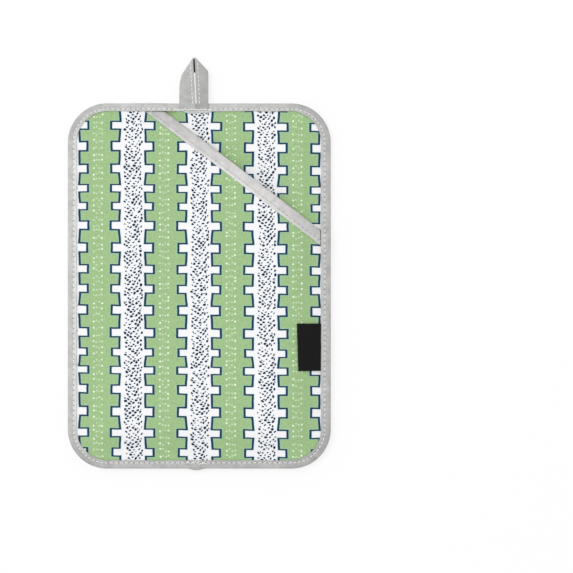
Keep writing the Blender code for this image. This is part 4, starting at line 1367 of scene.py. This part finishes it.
left, right = loop_crease(-1), loop_crease(1)
behind = []
for share in (0.25, 0.5, 0.75):
    outer, inner = (left[end] + (right[end] - left[end]) * share for end in (0, 1))
    behind.append(loop_row(outer + np.array([0.0, LOOP_TIP_BULGE * math.sin(math.pi * share)]),
                           inner + np.array([0.0, loop_fold]), -2 * loop_fold))
rows = np.array(loop_leg(-1) + behind + loop_leg(1)[::-1])
along = measured(rows.mean(axis=1))
# Painted shade: the loop's second leg is painted darker, as it bends away from the light.
loop_twill = twill_tape("grey_twill_loop_tape", "#B9B9B8", darker_along=(0, 30, 55, 0.89))
loop_tape = strip_of("loop_tape", rows, along, loop_shares * LOOP_WIDTH, loop_twill,
                     "binding_tape", "hanging_loop")
full = loop_tape.vertex_groups.new(name="full")
full.add(range(2 * len(loop_shares), (len(rows) - 2) * len(loop_shares)), 1.0, "REPLACE")
thick = thicken(loop_tape, LOOP_THICKNESS, 0.0)
thick.vertex_group = "full"
thick.thickness_vertex_group = FOOT_SHARE
round_off(loop_tape)
settle(loop_tape)
print(f"loop tape {along[-1]:.0f} mm long")

# %% Darken the bottom of the slit, where the photo shows a deep shadow between the folds
shadow = spun_cloth("twill_painted_as_deep_shadow", "#1A1A1B", 0.9, 1.0, **{"Specular IOR Level": 0.0})
loop_tape.data.materials.append(shadow)
for face in loop_tape.data.polygons:
    x, y, z = face.center
    below = z < loop_height(x - LOOP_X, y - HALF_Y) - loop_fold
    if below and face.normal.z > 0.2 and y > HALF_Y + LOOP_SLIT_DARK and abs(x - LOOP_X) < 3 * LOOP_SLIT:
        face.material_index = 1

# %% Sew the loop: a row beside the slit on each leg, and the bar at its foot
LEG_STITCH, LEG_FROM, LEG_TO, LEG_BESIDE = 2.9 * MM, 5.5 * MM, 2.0 * MM, 2.0 * MM
BAR_STITCHES, BAR_START, BAR_LENGTH, BAR_DOWN = 11, -16 * MM, 22.5 * MM, 4.5 * MM

places, ways = [], []
for side in (-1, 1):
    foot_in = loop_foot(side)
    way = loop_crease(side)[1] - foot_in
    length = np.linalg.norm(way)
    way = way / length
    for run in np.arange(LEG_FROM, length - LEG_TO, LEG_STITCH):
        x, y = foot_in + way * run + np.array([side * LEG_BESIDE, 0.0])
        places.append((LOOP_X + x, HALF_Y + y, loop_height(x, y) + LOOP_THICKNESS / 2 - 2 * IN_CLOTH))
        ways.append(way)
loop_seam = sew("loop_stitches", places, ways, 2.6 * MM, pale_thread, "binding_tape", 0.6 * MM)

places, ways = [], []
draw = np.random.default_rng(5)
for number in range(BAR_STITCHES):
    x = BAR_START + BAR_LENGTH * number / (BAR_STITCHES - 1)
    y = HALF_Y - BAR_DOWN + draw.uniform(-0.4, 0.4) * MM
    level = binding_ceiling(x, y) + BINDING_THICKNESS
    if abs(x - LOOP_X) < LOOP_HALF_WIDTH:
        level = loop_height(x - LOOP_X, y - HALF_Y) + LOOP_THICKNESS / 2
    places.append((x, y, level))
    ways.append((math.cos(draw.uniform(-0.25, 0.25)), math.sin(draw.uniform(-0.3, 0.3))))
loop_bar = sew("loop_bar_stitches", places, ways, 3.0 * MM, pale_thread, "binding_tape", 0.85 * MM)

# %% [markdown]
# ## The side label
#
# A short length of black woven ribbon is folded in half, and its ends are caught in the
# seam. It is plain, so its ribs and its soft fold have to tell that it is cloth.

# %% Fold the label
LABEL_BOW = 0.25 * MM
label_fold = (LABEL_THICKNESS + SEATING_GAP) / 2
end_x = HALF_X - TUCK_INSET
fold_x = HALF_X - BINDING_WIDTH - LABEL_SHOWING + label_fold
label_shares = np.linspace(-0.5, 0.5, 17)


def label_row(x, rise, reach=0.0):
    """Points across the ribbon at one place on its run, a little skew and bowed in the middle."""
    points = []
    out = (end_x - x) / (end_x - fold_x)
    for share in label_shares:
        y = LABEL_Y + LABEL_WIDTH * share
        lean = -LABEL_SKEW * share * out
        bow = LABEL_BOW * math.sin(math.pi * (share + 0.5)) * out
        level = pocket_top(x + lean, y) + SEATING_GAP + LABEL_THICKNESS / 2
        points.append((x + lean - reach, y, level + rise + bow))
    return points


flat_xs = np.linspace(end_x, fold_x, 14)
rows = [label_row(x, 0.0) for x in flat_xs[:-1]]
for angle in np.linspace(0, math.pi, 7):
    rows.append(label_row(fold_x, label_fold * (1 - math.cos(angle)), label_fold * math.sin(angle)))
rows = np.array(rows + [label_row(x, 2 * label_fold) for x in flat_xs[::-1][1:]])
label = strip_of("side_label_ribbon", rows, measured(rows[:, 8]), (label_shares + 0.5) * LABEL_WIDTH / MM,
                 ribbon, "woven_label", "side_label")
thicken(label, LABEL_THICKNESS, 0.0)
settle(label)

# %% [markdown]
# ## The sizes at the end
#
# The dressed holder has to stay in the box of the plain solids, apart from the little that
# soft cloth may stand proud. Both boxes are kept side by side, and their sizes are
# printed.

# %% Keep both boxes and finish
dressed_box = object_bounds()
for axis, letter in enumerate("xyz"):
    plain, dressed = (box[1][axis] - box[0][axis] for box in (plain_box, dressed_box))
    print(f"axis {letter}: plain {plain / MM:.1f} mm, dressed {dressed / MM:.1f} mm")
